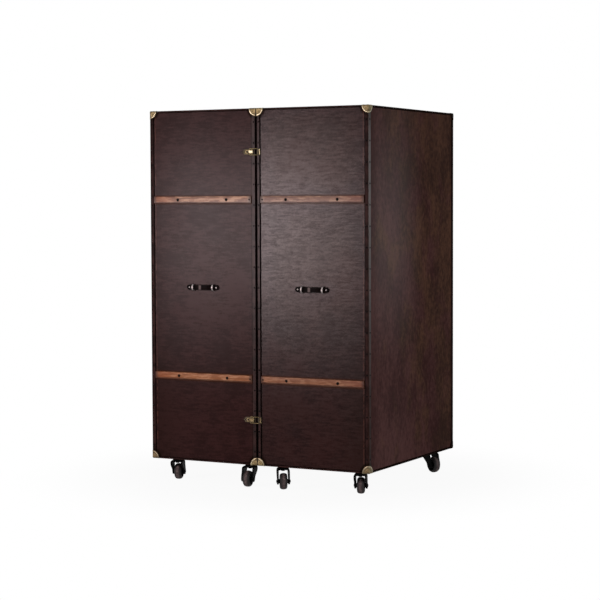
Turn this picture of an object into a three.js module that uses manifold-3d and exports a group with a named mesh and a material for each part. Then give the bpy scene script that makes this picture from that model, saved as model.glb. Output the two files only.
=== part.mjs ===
// Wardrobe trunk on casters: two leather-covered halves, hinged at the back like a book.
// Millimetres. X runs across the front, Y from the front face to the back, Z up from the floor.

import * as THREE from "three";
import { mergeVertices } from "three/addons/utils/BufferGeometryUtils.js";
import Module from "manifold-3d";

const wasm = await Module();
wasm.setup();

// Whole trunk
const halfWidth = 497.4; // one half, from its rim to its outer side
const trunkDepth = 828;
const boxHeight = 1430; // without the casters
const casterHeight = 97; // floor to the underside of the box
const seamGap = 2.4; // between the rims of the closed halves
const layerGap = 0.1; // glue line between two layers
const runningGap = 0.3; // between pieces that turn or slide on each other
const cutOverrun = 1; // how far a cutter reaches past what it cuts

// Plywood shell, leather cover and leather edge binding
const boardThickness = 12;
const coverThickness = 1.5;
const bindingThickness = 2.4;
const bindingWidth = 19; // on both faces of an upright edge, and on the top and bottom
const bindingLip = 9; // on the front, back and side, along a level edge

// Brass corner pieces, and the leather patches of the same form at the back
const cornerRadius = 30;
const cornerThickness = 1.2;
const cornerSides = 20; // facets of the full circle

// Wooden slats across the front
const slatHeight = 29;
const slatThickness = 7;
const slatEndGap = 1.5; // to the binding at each end
const slatRound = 2.5; // radius of the two front edges
const slatRoundSteps = 3; // facets of that rounding
const upperSlatDrop = 363; // from the top of the box to the slat's middle
const lowerSlatRise = 347.5; // from the bottom of the box to the slat's middle

// Strap handles, one on each half
const handleRise = 712; // above the bottom of the box
const strapLength = 150;
const strapWidth = 22;
const strapThickness = 4.3;
const strapBow = 9.5; // how far the grip stands off the lying ends
const strapGripLength = 46; // the level middle of the grip
const strapRampLength = 18; // each slope beside it
const strapRampSteps = 4;
const strapEndSteps = 4; // facets of each quarter of a rounded end
const loopSpacing = 98; // between the middles of the two metal loops
const loopWidth = 30; // over the outside of its legs
const loopReach = 18; // how far the arch stands off the leather
const loopBand = 2.2; // thickness of the metal
const loopLength = 6; // along the strap
const loopSteps = 8; // facets of the half circle

// Draw latches across the seam
const upperLatchDrop = 173; // from the top of the box to the latch's middle
const lowerLatchRise = 184; // from the bottom of the box to the latch's middle
const latchPlateThickness = 1.5;
const latchPlateHalfHeight = 10.8;
const latchPlateEnd = 8; // from the seam to the near end of the base plate
const latchPlateLength = 62; // from there to the spear's tip
const latchCurveSteps = 5; // facets of each of its curves
const latchSpearShare = 0.4; // of the plate's length that narrows to the tip
const latchNeckShares = [0.55, 0.5]; // waist of the spear: along the narrowing, across the plate
const latchPivot = 15; // from the seam to the lever's pin
const latchAxisHeight = 6; // of both pivots above the binding
const latchThrow = 12; // from the lever's pin to the bail's pivot
const leverReach = 24; // from the lever's pin to its tip
const leverHeel = 3; // from the lever's pin to its near end
const leverHalfWidth = 8.5;
const leverDepth = 5.2;
const leverWall = 1.5;
const leverGroove = 1.2; // width of the two grooves along the lever
const leverGrooveDepth = 0.6;
const leverLip = 2; // raised edge at the tip, for a fingernail
const latchPinRadius = 1.5;
const latchRoundSteps = 6; // facets of the lugs' and the heel's half circles
const bailWireRadius = 1.2;
const bailHalfWidth = 12.5; // to the middle of the side wires
const bailBarPlace = 13; // the cross bar, beyond the seam on the other half
const bailPinLength = 4.9; // the turned-in ends that enter the lever
const catchPlateStart = 4; // from the seam
const catchPlateLength = 16;
const catchPlateHalfHeight = 14;
const catchRidgeWidth = 3;
const catchRidgeHalfHeight = 9;
const catchRidgeGap = 0.8; // beside the bail's cross bar

// Continuous hinge at the back
const leafWidth = 18; // from the pin's axis to the leaf's edge
const leafThickness = 1.5;
const knuckleRadius = 4.6;
const knuckleCount = 16;
const knuckleSides = 8;
const hingePinRadius = 2;
const hingePinHeadRadius = 3.8;
const hingePinHeadHeight = 3;
const hingeAxisLift = 5; // from the leaf's inner face to the pin's axis
const hingeEndGap = 3; // between the hinge and the corner patches

// Casters
const casterInset = 75; // from the sides of its half, and from the front and back
const wheelRadius = 33;
const wheelWidth = 30;
const wheelSides = 15;
const wheelHubRadius = 9;
const wheelRimRadius = 21; // inner edge of the tyre
const wheelWebThickness = 16;
const treadRound = 7; // how far the tyre's shoulders fall below its crown
const crownShare = 0.35; // of that fall, reached at the shoulder's break
const shoulderShare = 0.8; // of the half width, where that break lies
const treadShare = 0.35; // of the half width that is level
const axleRadius = 4;
const axleNutRadius = 7;
const axleNutLength = 4;
const nutSides = 6;
const boreSides = 8;
const dishSides = 10;
const forkWidth = 52;
const forkLegThickness = 5.5;
const forkShoulder = 10; // outer radius of the fork's arch
const forkCrownRadius = 20;
const forkCrownThickness = 8;
const forkWheelGap = 10; // between the tyre and the underside of the crown
const forkBossRadius = 13; // around the axle
const forkTrail = 26; // from the swivel's axis to the axle
const forkBossSteps = 4; // facets of the boss's half circle
const forkShoulderSteps = 2;
const raceRadius = 17;
const raceLip = 2.5; // height of the fork's dish under the race
const kingpinRadius = 5;
const casterPlateLength = 80;
const casterPlateWidth = 64;
const casterPlateThickness = 2.5;
const casterPlateRound = 7;
const casterPlateRoundSteps = 2;

// Directions in which the casters trail, in degrees anticlockwise from +X
const trailLeftFrontOuter = 108;
const trailLeftFrontInner = -80;
const trailLeftRearOuter = -62;
const trailLeftRearInner = 104;
const trailRightFrontInner = -58;
const trailRightFrontOuter = 111;
const trailRightRearOuter = -30;
const trailRightRearInner = 98;

// Hanging rail in the left half
const railRadius = 12.5;
const railBore = 11;
const railDrop = 62; // from the shell's ceiling to the rail's axis
const railSides = 12;
const socketFlangeRadius = 24;
const socketFlangeThickness = 3;
const socketCupRadius = 16;
const socketDepth = 14;

// Drawers and their case in the right half
const drawerCount = 4;
const drawerHeight = 223;
const drawerWall = 10;
const drawerFront = 14;
const drawerBottom = 6;
const drawerSideGap = 1.5;
const drawerTopGap = 4;
const drawerNotchRadius = 32; // finger notch in the front's upper edge
const drawerNotchDrop = 22;
const drawerBackGap = 6; // between a closed drawer and the shell
const caseBoard = 9;
const caseSetback = 6; // of the case and the drawers behind the rim

const degree = Math.PI / 180;

// Planes that several pieces share
const rimX = seamGap / 2;
const outerX = rimX + halfWidth;
const boxBottom = casterHeight;
const boxTop = casterHeight + boxHeight;
const bindingStep = bindingThickness + layerGap; // from the binding's face to the leather
const coverStep = coverThickness + layerGap; // from the leather to the plywood

// The right half's outer limits. The left half is the same box, mirrored across the seam.
const halfBox = box3(rimX, outerX, 0, trunkDepth, boxBottom, boxTop);
const coverBox = halfBox.clone().expandByScalar(-bindingStep);
const shellBox = insetFromRim(coverBox, coverStep);
const roomBox = insetFromRim(shellBox, boardThickness);

// Axis of the continuous hinge, which is also the axis on which the trunk opens
const hingeFaceY = trunkDepth + layerGap;
const hingeAxisY = hingeFaceY + hingeAxisLift;
const hingeBottom = boxBottom + cornerRadius + hingeEndGap;
const hingeTop = boxTop - cornerRadius - hingeEndGap;

// A closed geometry as a solid that can be joined and cut
function solid(geometry) {
  const bare = geometry.clone();
  bare.deleteAttribute("normal");
  bare.deleteAttribute("uv");
  const merged = mergeVertices(bare);
  const corners = [];
  for (let i = 0; i < merged.index.count; i += 3) {
    const [a, b, c] = [0, 1, 2].map((k) => merged.index.getX(i + k));
    if (a !== b && b !== c && c !== a) corners.push(a, b, c);
  }
  return new wasm.Manifold(
    new wasm.Mesh({
      numProp: 3,
      vertProperties: merged.attributes.position.array,
      triVerts: new Uint32Array(corners),
    }),
  );
}

// A solid as a geometry, ready for a mesh
function geometryOf(body) {
  const mesh = body.getMesh();
  const geometry = new THREE.BufferGeometry();
  geometry.setAttribute("position", new THREE.Float32BufferAttribute(mesh.vertProperties, 3));
  geometry.setIndex(new THREE.BufferAttribute(mesh.triVerts, 1));
  geometry.computeVertexNormals();
  return geometry;
}

function mirroredAcrossSeam(geometry) {
  const mirrored = geometry.clone().scale(-1, 1, 1);
  const index = mirrored.index;
  for (let i = 0; i < index.count; i += 3) {
    const first = index.getX(i);
    index.setX(i, index.getX(i + 1));
    index.setX(i + 1, first);
  }
  mirrored.computeVertexNormals();
  return mirrored;
}

function box3(x0, x1, y0, y1, z0, z1) {
  return new THREE.Box3(new THREE.Vector3(x0, y0, z0), new THREE.Vector3(x1, y1, z1));
}

// The box, smaller by one distance on every side but its open rim
function insetFromRim(box, distance) {
  const inner = box.clone().expandByScalar(-distance);
  inner.min.x = box.min.x;
  return inner;
}

function block(box) {
  const size = box.getSize(new THREE.Vector3());
  const middle = box.getCenter(new THREE.Vector3());
  const geometry = new THREE.BoxGeometry(size.x, size.y, size.z);
  return solid(geometry.translate(middle.x, middle.y, middle.z));
}

// Extrudes an outline, drawn along two axes, from one place to another on the third
function extruded(shape, from, to, curveSegments, across, up) {
  const depth = to - from;
  const geometry = new THREE.ExtrudeGeometry(shape, { depth, bevelEnabled: false, curveSegments });
  const along = across.clone().cross(up);
  const runsForward = along.x + along.y + along.z > 0;
  const start = along.clone().multiplyScalar(runsForward ? from : -to);
  const basis = new THREE.Matrix4().makeBasis(across, up, along).setPosition(start);
  return solid(geometry.applyMatrix4(basis));
}

const axisX = new THREE.Vector3(1, 0, 0);
const axisY = new THREE.Vector3(0, 1, 0);
const axisZ = new THREE.Vector3(0, 0, 1);
const extrudeX = (shape, from, to, steps) => extruded(shape, from, to, steps, axisY, axisZ);
const extrudeY = (shape, from, to, steps) => extruded(shape, from, to, steps, axisX, axisZ);
const extrudeZ = (shape, from, to, steps) => extruded(shape, from, to, steps, axisX, axisY);

// A rod between two points
function rod(start, end, radius, sides) {
  const along = end.clone().sub(start);
  const geometry = new THREE.CylinderGeometry(radius, radius, along.length(), sides);
  const turn = new THREE.Quaternion().setFromUnitVectors(axisY, along.clone().normalize());
  const middle = start.clone().add(end).divideScalar(2);
  return solid(geometry.applyQuaternion(turn).translate(middle.x, middle.y, middle.z));
}

// A turned solid about Y. Its profile lists [radius, place along the axis], anticlockwise.
function turned(profile, sides) {
  const points = [...profile, profile[0]].map(([radius, along]) => new THREE.Vector2(radius, along));
  return solid(new THREE.LatheGeometry(points, sides));
}

// A wire bent through a list of points
function wire(points, radius, sides) {
  let body = rod(points[0], points[1], radius, sides);
  for (let i = 1; i < points.length - 1; i += 1) {
    const elbow = new THREE.SphereGeometry(radius, sides, sides / 2);
    body = body.add(solid(elbow.translate(...points[i])));
    body = body.add(rod(points[i], points[i + 1], radius, sides));
  }
  return body;
}

function polygon(points) {
  return new THREE.Shape(points.map(([a, b]) => new THREE.Vector2(a, b)));
}

function roundedRectangle(halfLength, halfWidth, radius) {
  const shape = new THREE.Shape();
  shape.moveTo(halfLength, -halfWidth + radius);
  shape.absarc(halfLength - radius, halfWidth - radius, radius, 0, Math.PI / 2);
  shape.absarc(-halfLength + radius, halfWidth - radius, radius, Math.PI / 2, Math.PI);
  shape.absarc(-halfLength + radius, -halfWidth + radius, radius, Math.PI, Math.PI * 1.5);
  shape.absarc(halfLength - radius, -halfWidth + radius, radius, Math.PI * 1.5, Math.PI * 2);
  return shape;
}

function finish(color, roughness, metalness) {
  return () => new THREE.MeshStandardMaterial({ color, roughness, metalness });
}

const coverLeather = finish(0x3a2b2a, 0.45, 0);
const edgeLeather = finish(0x2a1f1e, 0.5, 0);
const strapLeather = finish(0x1a1110, 0.4, 0);
const slatWood = finish(0x965f46, 0.45, 0);
const plywood = finish(0xb08a5e, 0.7, 0);
const drawerWood = finish(0x6b4631, 0.55, 0);
const agedBrass = finish(0x9c8a5c, 0.35, 1);
const paleSteel = finish(0xb9b4ad, 0.3, 1);
const blackIron = finish(0x141314, 0.5, 0.8);
const wheelRubber = finish(0x4a3d40, 0.7, 0);

function piece(name, body, material) {
  const mesh = new THREE.Mesh(body.isBufferGeometry ? body : geometryOf(body), material());
  mesh.name = name;
  return mesh;
}

// A case with one open side, facing the seam
function openCase(box, wall) {
  const room = insetFromRim(box, wall);
  room.min.x -= cutOverrun;
  return block(box).subtract(block(room));
}

// Leather strips along every edge of a half, with a round lobe on each face at the corners
function edgeBinding() {
  const { min, max } = halfBox;
  const through = halfBox.clone().expandByScalar(cutOverrun);
  const frontWindow = through.clone();
  frontWindow.min.x = min.x + bindingWidth;
  frontWindow.max.x = max.x - bindingWidth;
  frontWindow.min.z = min.z + bindingLip;
  frontWindow.max.z = max.z - bindingLip;
  const topWindow = through.clone();
  topWindow.min.x = min.x + bindingWidth;
  topWindow.max.x = max.x - bindingWidth;
  topWindow.min.y = min.y + bindingWidth;
  topWindow.max.y = max.y - bindingWidth;
  const sideWindow = through.clone();
  sideWindow.min.x = (min.x + max.x) / 2;
  sideWindow.min.y = min.y + bindingWidth;
  sideWindow.max.y = max.y - bindingWidth;
  sideWindow.min.z = min.z + bindingLip;
  sideWindow.max.z = max.z - bindingLip;
  const rimWindow = roomBox.clone();
  rimWindow.min.x = through.min.x;
  rimWindow.max.x = (min.x + max.x) / 2;
  let body = block(halfBox).subtract(block(halfBox.clone().expandByScalar(-bindingThickness)));
  for (const window of [frontWindow, topWindow, sideWindow, rimWindow]) {
    body = body.subtract(block(window));
  }
  for (const z of [min.z, max.z]) {
    for (const y of [min.y, max.y]) {
      for (const x of [min.x, max.x]) {
        body = body.add(cornerLobes(x, y, z));
      }
    }
  }
  return body;
}

// Quarter discs around one corner of the half. The rim has none, so that the halves can close.
function cornerLobes(x, y, z) {
  const limits = halfBox.clone().expandByScalar(cornerThickness);
  limits.min.x = halfBox.min.x;
  const corner = new THREE.Vector3(x, y, z);
  const middle = halfBox.getCenter(new THREE.Vector3());
  const faces = x === halfBox.min.x ? ["y", "z"] : ["x", "y", "z"];
  let body = null;
  for (const axis of faces) {
    const outward = Math.sign(corner[axis] - middle[axis]);
    const start = corner.clone();
    const end = corner.clone();
    start[axis] -= outward * bindingThickness;
    end[axis] += outward * cornerThickness;
    const disc = rod(start, end, cornerRadius, cornerSides).intersect(block(limits));
    body = body ? body.add(disc) : disc;
  }
  return body;
}

function half(side, isLeft) {
  const placed = (body) => (isLeft ? mirroredAcrossSeam(geometryOf(body)) : geometryOf(body));
  const group = new THREE.Group();
  group.add(
    piece(side + "_shell", placed(openCase(shellBox, boardThickness)), plywood),
    piece(side + "_cover", placed(openCase(coverBox, coverThickness)), coverLeather),
    piece(side + "_binding", placed(edgeBinding()), edgeLeather),
  );
  const direction = isLeft ? -1 : 1;
  const middleX = direction * (rimX + halfWidth / 2);
  const slatHeights = { upper: boxTop - upperSlatDrop, lower: boxBottom + lowerSlatRise };
  for (const [level, z] of Object.entries(slatHeights)) {
    const mesh = piece(side + "_" + level + "_slat", slat(), slatWood);
    mesh.position.set(middleX, coverBox.min.y - layerGap, z);
    group.add(mesh);
  }
  const strapHandle = handle(side);
  strapHandle.position.set(middleX, coverBox.min.y, boxBottom + handleRise);
  group.add(strapHandle);
  return group;
}

// A flat batten with rounded front edges. Its back lies in the plane Y = 0.
function slat() {
  const length = halfWidth - 2 * (bindingWidth + slatEndGap);
  const front = -slatThickness;
  const top = slatHeight / 2;
  const outline = new THREE.Shape();
  outline.moveTo(0, -top);
  outline.lineTo(0, top);
  outline.lineTo(front + slatRound, top);
  outline.absarc(front + slatRound, top - slatRound, slatRound, Math.PI / 2, Math.PI);
  outline.absarc(front + slatRound, slatRound - top, slatRound, Math.PI, Math.PI * 1.5);
  return extrudeX(outline, -length / 2, length / 2, slatRoundSteps);
}

// A leather strap whose ends lie in two metal loops. The leather of the trunk is the plane Y = 0.
function handle(side) {
  const group = new THREE.Group();
  group.add(piece(side + "_handle_strap", handleStrap(), strapLeather));
  const outward = side === "left" ? -1 : 1;
  for (const [place, direction] of [["outer", outward], ["inner", -outward]]) {
    const loop = piece(side + "_handle_" + place + "_loop", handleLoop(), paleSteel);
    loop.position.x = (direction * loopSpacing) / 2;
    group.add(loop);
  }
  return group;
}

// Height of the strap's underside above the leather, at a distance from its middle
function strapRise(distance) {
  const beyondGrip = Math.abs(distance) - strapGripLength / 2;
  const share = Math.min(Math.max(beyondGrip / strapRampLength, 0), 1);
  return runningGap + (strapBow * (1 + Math.cos(Math.PI * share))) / 2;
}

function handleStrap() {
  const half = strapLength / 2;
  const rampEnd = strapGripLength / 2 + strapRampLength;
  const places = [half];
  for (let i = 0; i <= strapRampSteps; i += 1) {
    places.push(rampEnd - (strapRampLength * i) / strapRampSteps);
  }
  const along = [...places, ...places.map((place) => -place).reverse()];
  const under = along.map((x) => [x, -strapRise(x)]);
  const over = along.map((x) => [x, -strapRise(x) - strapThickness]).reverse();
  const side = extrudeZ(polygon([...under, ...over]), -strapWidth / 2, strapWidth / 2, 1);
  const plan = roundedRectangle(half, strapWidth / 2, strapWidth / 2 - runningGap);
  const reach = runningGap + strapBow + strapThickness + cutOverrun;
  return side.intersect(extrudeY(plan, -reach, cutOverrun, strapEndSteps));
}

// A stilted arch of flat metal, open towards the leather
function handleLoop() {
  const outer = loopWidth / 2;
  const inner = outer - loopBand;
  const spring = -(loopReach - outer);
  const outline = new THREE.Shape();
  outline.moveTo(-layerGap, -outer);
  outline.lineTo(spring, -outer);
  outline.absarc(spring, 0, outer, Math.PI * 1.5, Math.PI / 2, true);
  outline.lineTo(-layerGap, outer);
  outline.lineTo(-layerGap, inner);
  outline.absarc(spring, 0, inner, Math.PI / 2, Math.PI * 1.5, false);
  outline.lineTo(-layerGap, -inner);
  return extrudeX(outline, -loopLength / 2, loopLength / 2, loopSteps);
}

// Draw latch. Its own origin is on the seam, on the binding's face.
function latch(level) {
  const group = new THREE.Group();
  group.add(
    piece(level + "_latch_base", latchBase(), agedBrass),
    piece(level + "_latch_lever", latchLever(), agedBrass),
    piece(level + "_latch_bail", latchBail(), agedBrass),
    piece(level + "_latch_catch", latchCatch(), agedBrass),
  );
  return group;
}

// Spear-shaped plate with two lugs that carry the lever's pin
function latchBase() {
  const near = -latchPlateEnd;
  const far = near - latchPlateLength;
  const shoulder = far + latchPlateLength * latchSpearShare;
  const [neckAlongShare, neckAcrossShare] = latchNeckShares;
  const neck = far + (shoulder - far) * neckAlongShare;
  const half = latchPlateHalfHeight;
  const outline = new THREE.Shape();
  outline.moveTo(near, -half);
  outline.lineTo(near, half);
  outline.lineTo(shoulder, half);
  outline.quadraticCurveTo(neck, half, neck, half * neckAcrossShare);
  outline.quadraticCurveTo(neck, 0, far, 0);
  outline.quadraticCurveTo(neck, 0, neck, -half * neckAcrossShare);
  outline.quadraticCurveTo(neck, -half, shoulder, -half);
  const face = -layerGap - latchPlateThickness;
  const overLeather = bindingStep - layerGap;
  const bindingEdge = -rimX - bindingWidth - runningGap;
  const step = box3(
    bindingEdge,
    near + cutOverrun,
    -layerGap,
    overLeather + cutOverrun,
    -half - cutOverrun,
    half + cutOverrun,
  );
  let body = extrudeY(outline, face, overLeather, latchCurveSteps).subtract(block(step));
  const axis = -latchAxisHeight;
  const lugRadius = 2 * latchPinRadius;
  const lug = new THREE.Shape();
  lug.moveTo(-latchPivot + lugRadius, face + latchPlateThickness / 2);
  lug.lineTo(-latchPivot + lugRadius, axis);
  lug.absarc(-latchPivot, axis, lugRadius, 0, -Math.PI, true);
  lug.lineTo(-latchPivot - lugRadius, face + latchPlateThickness / 2);
  const lugInner = leverHalfWidth + runningGap;
  body = body.add(extrudeZ(lug, lugInner, half, latchRoundSteps));
  body = body.add(extrudeZ(lug, -half, -lugInner, latchRoundSteps));
  const pinStart = new THREE.Vector3(-latchPivot, axis, -half);
  const pinEnd = new THREE.Vector3(-latchPivot, axis, half);
  return body.add(rod(pinStart, pinEnd, latchPinRadius, boreSides));
}

// Pressed lever, hollow underneath, with three ridges along its back and a lip at its tip
function latchLever() {
  const heel = -latchPivot + leverHeel;
  const tip = -latchPivot - leverReach;
  const axis = -latchAxisHeight;
  const under = axis + leverDepth / 2;
  const back = axis - leverDepth / 2;
  const outline = new THREE.Shape();
  outline.moveTo(tip + leverLip, under);
  outline.lineTo(heel - leverHeel, under);
  outline.absarc(heel - leverHeel, axis, leverDepth / 2, Math.PI / 2, -Math.PI / 2, true);
  outline.lineTo(tip + 2 * leverLip, back);
  outline.lineTo(tip, back - leverLip / 2);
  outline.lineTo(tip, back + leverWall);
  let body = extrudeZ(outline, -leverHalfWidth, leverHalfWidth, latchRoundSteps);
  const inside = leverHalfWidth - leverWall;
  const hollow = box3(
    tip + leverLip + 2 * leverWall,
    heel + cutOverrun,
    back + leverWall,
    under + cutOverrun,
    -inside,
    inside,
  );
  body = body.subtract(block(hollow));
  for (const side of [-1, 1]) {
    const middle = (side * leverHalfWidth) / 3;
    const groove = box3(
      tip + 3 * leverLip,
      heel - leverHeel,
      back - cutOverrun,
      back + leverGrooveDepth,
      middle - leverGroove / 2,
      middle + leverGroove / 2,
    );
    body = body.subtract(block(groove));
  }
  const bores = [
    [-latchPivot, latchPinRadius],
    [-latchPivot - latchThrow, bailWireRadius],
  ];
  for (const [x, pinRadius] of bores) {
    const radius = boreAround(pinRadius, boreSides);
    const start = new THREE.Vector3(x, axis, -leverHalfWidth - cutOverrun);
    const end = new THREE.Vector3(x, axis, leverHalfWidth + cutOverrun);
    body = body.subtract(rod(start, end, radius, boreSides));
  }
  return body;
}

// Corner radius of a faceted bore that leaves the running gap around a round pin
function boreAround(pinRadius, sides) {
  return (pinRadius + runningGap) / Math.cos(Math.PI / sides);
}

// Wire bail: two turned-in ends in the lever, two side wires and a cross bar over the catch
function latchBail() {
  const pivot = -latchPivot - latchThrow;
  const axis = -latchAxisHeight;
  const ends = bailHalfWidth - bailPinLength;
  const points = [
    [pivot, ends],
    [pivot, bailHalfWidth],
    [bailBarPlace, bailHalfWidth],
    [bailBarPlace, -bailHalfWidth],
    [pivot, -bailHalfWidth],
    [pivot, -ends],
  ].map(([x, z]) => new THREE.Vector3(x, axis, z));
  return wire(points, bailWireRadius, boreSides);
}

// Plate with a low ridge that the bail's cross bar drops behind
function latchCatch() {
  const face = -layerGap - latchPlateThickness;
  const ridgeTop = -latchAxisHeight + bailWireRadius + runningGap;
  const ridgeEnd = bailBarPlace - bailWireRadius - catchRidgeGap;
  const ridgeStart = ridgeEnd - catchRidgeWidth;
  const plateEnd = catchPlateStart + catchPlateLength;
  const half = catchPlateHalfHeight;
  const plate = box3(catchPlateStart, plateEnd, face, -layerGap, -half, half);
  const ridge = polygon([
    [ridgeStart, face + latchPlateThickness / 2],
    [ridgeStart + catchRidgeWidth / 2, ridgeTop],
    [ridgeEnd, ridgeTop],
    [ridgeEnd, face + latchPlateThickness / 2],
  ]);
  return block(plate).add(extrudeZ(ridge, -catchRidgeHalfHeight, catchRidgeHalfHeight, 1));
}

// Continuous hinge: two leaves with interleaved knuckles on one long pin
function hinge() {
  const group = new THREE.Group();
  group.add(
    piece("hinge_left_leaf", mirroredAcrossSeam(geometryOf(hingeLeaf(0))), agedBrass),
    piece("hinge_right_leaf", hingeLeaf(1), agedBrass),
    piece("hinge_pin", hingePin(), agedBrass),
  );
  return group;
}

// One leaf, drawn for the right half. It owns every second knuckle, from the first or the second.
function hingeLeaf(first) {
  const clear = knuckleRadius + runningGap;
  const leaf = box3(clear, leafWidth, hingeFaceY, hingeFaceY + leafThickness, hingeBottom, hingeTop);
  const pitch = (hingeTop - hingeBottom) / knuckleCount;
  let body = block(leaf);
  for (let i = first; i < knuckleCount; i += 2) {
    const low = hingeBottom + i * pitch + runningGap;
    const high = hingeBottom + (i + 1) * pitch - runningGap;
    const tab = box3(0, clear + cutOverrun, hingeFaceY, hingeFaceY + leafThickness, low, high);
    const start = new THREE.Vector3(0, hingeAxisY, low);
    const end = new THREE.Vector3(0, hingeAxisY, high);
    body = body.add(block(tab)).add(rod(start, end, knuckleRadius, knuckleSides));
  }
  const boreStart = new THREE.Vector3(0, hingeAxisY, hingeBottom - cutOverrun);
  const boreEnd = new THREE.Vector3(0, hingeAxisY, hingeTop + cutOverrun);
  const boreRadius = boreAround(hingePinRadius, knuckleSides);
  return body.subtract(rod(boreStart, boreEnd, boreRadius, knuckleSides));
}

function hingePin() {
  const shaft = (from, to, radius) => {
    const start = new THREE.Vector3(0, hingeAxisY, from);
    const end = new THREE.Vector3(0, hingeAxisY, to);
    return rod(start, end, radius, knuckleSides);
  };
  const intoHead = hingePinHeadHeight / 2;
  const shank = shaft(hingeBottom - intoHead, hingeTop + intoHead, hingePinRadius);
  const topHead = shaft(hingeTop, hingeTop + hingePinHeadHeight, hingePinHeadRadius);
  const bottomHead = shaft(hingeBottom - hingePinHeadHeight, hingeBottom, hingePinHeadRadius);
  return shank.add(topHead).add(bottomHead);
}

// Heights on the caster that its pieces share
const casterPlateTop = boxBottom + bindingStep - layerGap;
const casterPlateFace = casterPlateTop - casterPlateThickness;
const forkArch = 2 * wheelRadius + forkWheelGap;
const forkTop = forkArch + forkCrownThickness;

// A swivel caster that trails in the given direction. Its origin is under its kingpin, on the floor.
function caster(name, shapes, trailDirection) {
  const group = new THREE.Group();
  group.add(piece(name + "_plate", shapes.plate, blackIron));
  const swivel = new THREE.Group();
  swivel.rotation.z = trailDirection * degree;
  swivel.add(piece(name + "_fork", shapes.fork, blackIron));
  const wheel = piece(name + "_wheel", shapes.wheel, wheelRubber);
  wheel.position.set(forkTrail, 0, wheelRadius);
  swivel.add(wheel);
  group.add(swivel);
  return group;
}

// Mounting plate with the upper race under it and a bore for the kingpin
function casterPlate() {
  const outline = roundedRectangle(casterPlateLength / 2, casterPlateWidth / 2, casterPlateRound);
  const raceBottom = forkTop + raceLip + runningGap;
  const up = (z) => new THREE.Vector3(0, 0, z);
  const race = rod(up(raceBottom), up(casterPlateFace + cutOverrun), raceRadius, dishSides);
  const boreRadius = boreAround(kingpinRadius, boreSides);
  const bore = rod(
    up(raceBottom - cutOverrun),
    up(casterPlateTop + cutOverrun),
    boreRadius,
    boreSides,
  );
  const plate = extrudeZ(outline, casterPlateFace, casterPlateTop, casterPlateRoundSteps);
  return plate.add(race).subtract(bore);
}

// Pressed fork: an arch over the wheel, raked legs to the axle, a dish for the race, a kingpin
function casterFork() {
  const rake = new THREE.Shape();
  rake.moveTo(-forkCrownRadius, forkTop);
  rake.lineTo(-forkCrownRadius, forkArch);
  rake.lineTo(forkTrail - forkBossRadius, wheelRadius);
  rake.absarc(forkTrail, wheelRadius, forkBossRadius, Math.PI, Math.PI * 2);
  rake.lineTo(forkCrownRadius + forkShoulder, forkArch);
  rake.lineTo(forkCrownRadius, forkTop);
  const half = forkWidth / 2;
  const long = forkTrail + forkBossRadius + forkCrownRadius;
  const innerHalf = half - forkLegThickness;
  const innerShoulder = forkShoulder - forkLegThickness;
  const outside = arch(half, forkTop, forkShoulder);
  const inside = arch(innerHalf, forkArch, innerShoulder);
  let body = extrudeY(rake, -half, half, forkBossSteps);
  body = body.intersect(extrudeX(outside, -long, long, forkShoulderSteps));
  body = body.subtract(extrudeX(inside, -long, long, forkShoulderSteps));
  const up = (z) => new THREE.Vector3(0, 0, z);
  const dish = rod(up(forkTop - cutOverrun), up(forkTop + raceLip), forkCrownRadius, dishSides);
  const kingpinTop = casterPlateTop - runningGap;
  const kingpin = rod(up(forkTop), up(kingpinTop), kingpinRadius, boreSides);
  const across = (y) => new THREE.Vector3(forkTrail, y, wheelRadius);
  const axle = rod(across(-half), across(half), axleRadius, boreSides);
  const nutHalf = half + axleNutLength;
  const nutFoot = half - cutOverrun;
  const nearNut = rod(across(-nutHalf), across(-nutFoot), axleNutRadius, nutSides);
  const farNut = rod(across(nutFoot), across(nutHalf), axleNutRadius, nutSides);
  return body.add(dish).add(kingpin).add(axle).add(nearNut).add(farNut);
}

// Front view of an arch with rounded shoulders, open downwards as far as the floor
function arch(half, top, shoulder) {
  const outline = new THREE.Shape();
  outline.moveTo(half, 0);
  outline.lineTo(half, top - shoulder);
  outline.absarc(half - shoulder, top - shoulder, shoulder, 0, Math.PI / 2);
  outline.absarc(shoulder - half, top - shoulder, shoulder, Math.PI / 2, Math.PI);
  outline.lineTo(-half, 0);
  return outline;
}

// Wheel with a crowned tyre, a recessed web and a hub that runs on the axle
function casterWheel() {
  const hubHalf = forkWidth / 2 - forkLegThickness - runningGap;
  const webHalf = wheelWebThickness / 2;
  const treadHalf = wheelWidth / 2;
  const bore = boreAround(axleRadius, wheelSides);
  const shoulder = wheelRadius - treadRound;
  const oneSide = [
    [bore, hubHalf],
    [wheelHubRadius, hubHalf],
    [wheelHubRadius, webHalf],
    [wheelRimRadius, webHalf],
    [shoulder, treadHalf],
    [wheelRadius - treadRound * crownShare, treadHalf * shoulderShare],
    [wheelRadius, treadHalf * treadShare],
  ];
  const otherSide = oneSide.map(([radius, along]) => [radius, -along]);
  return turned([...otherSide, ...oneSide.reverse()], wheelSides);
}

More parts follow.
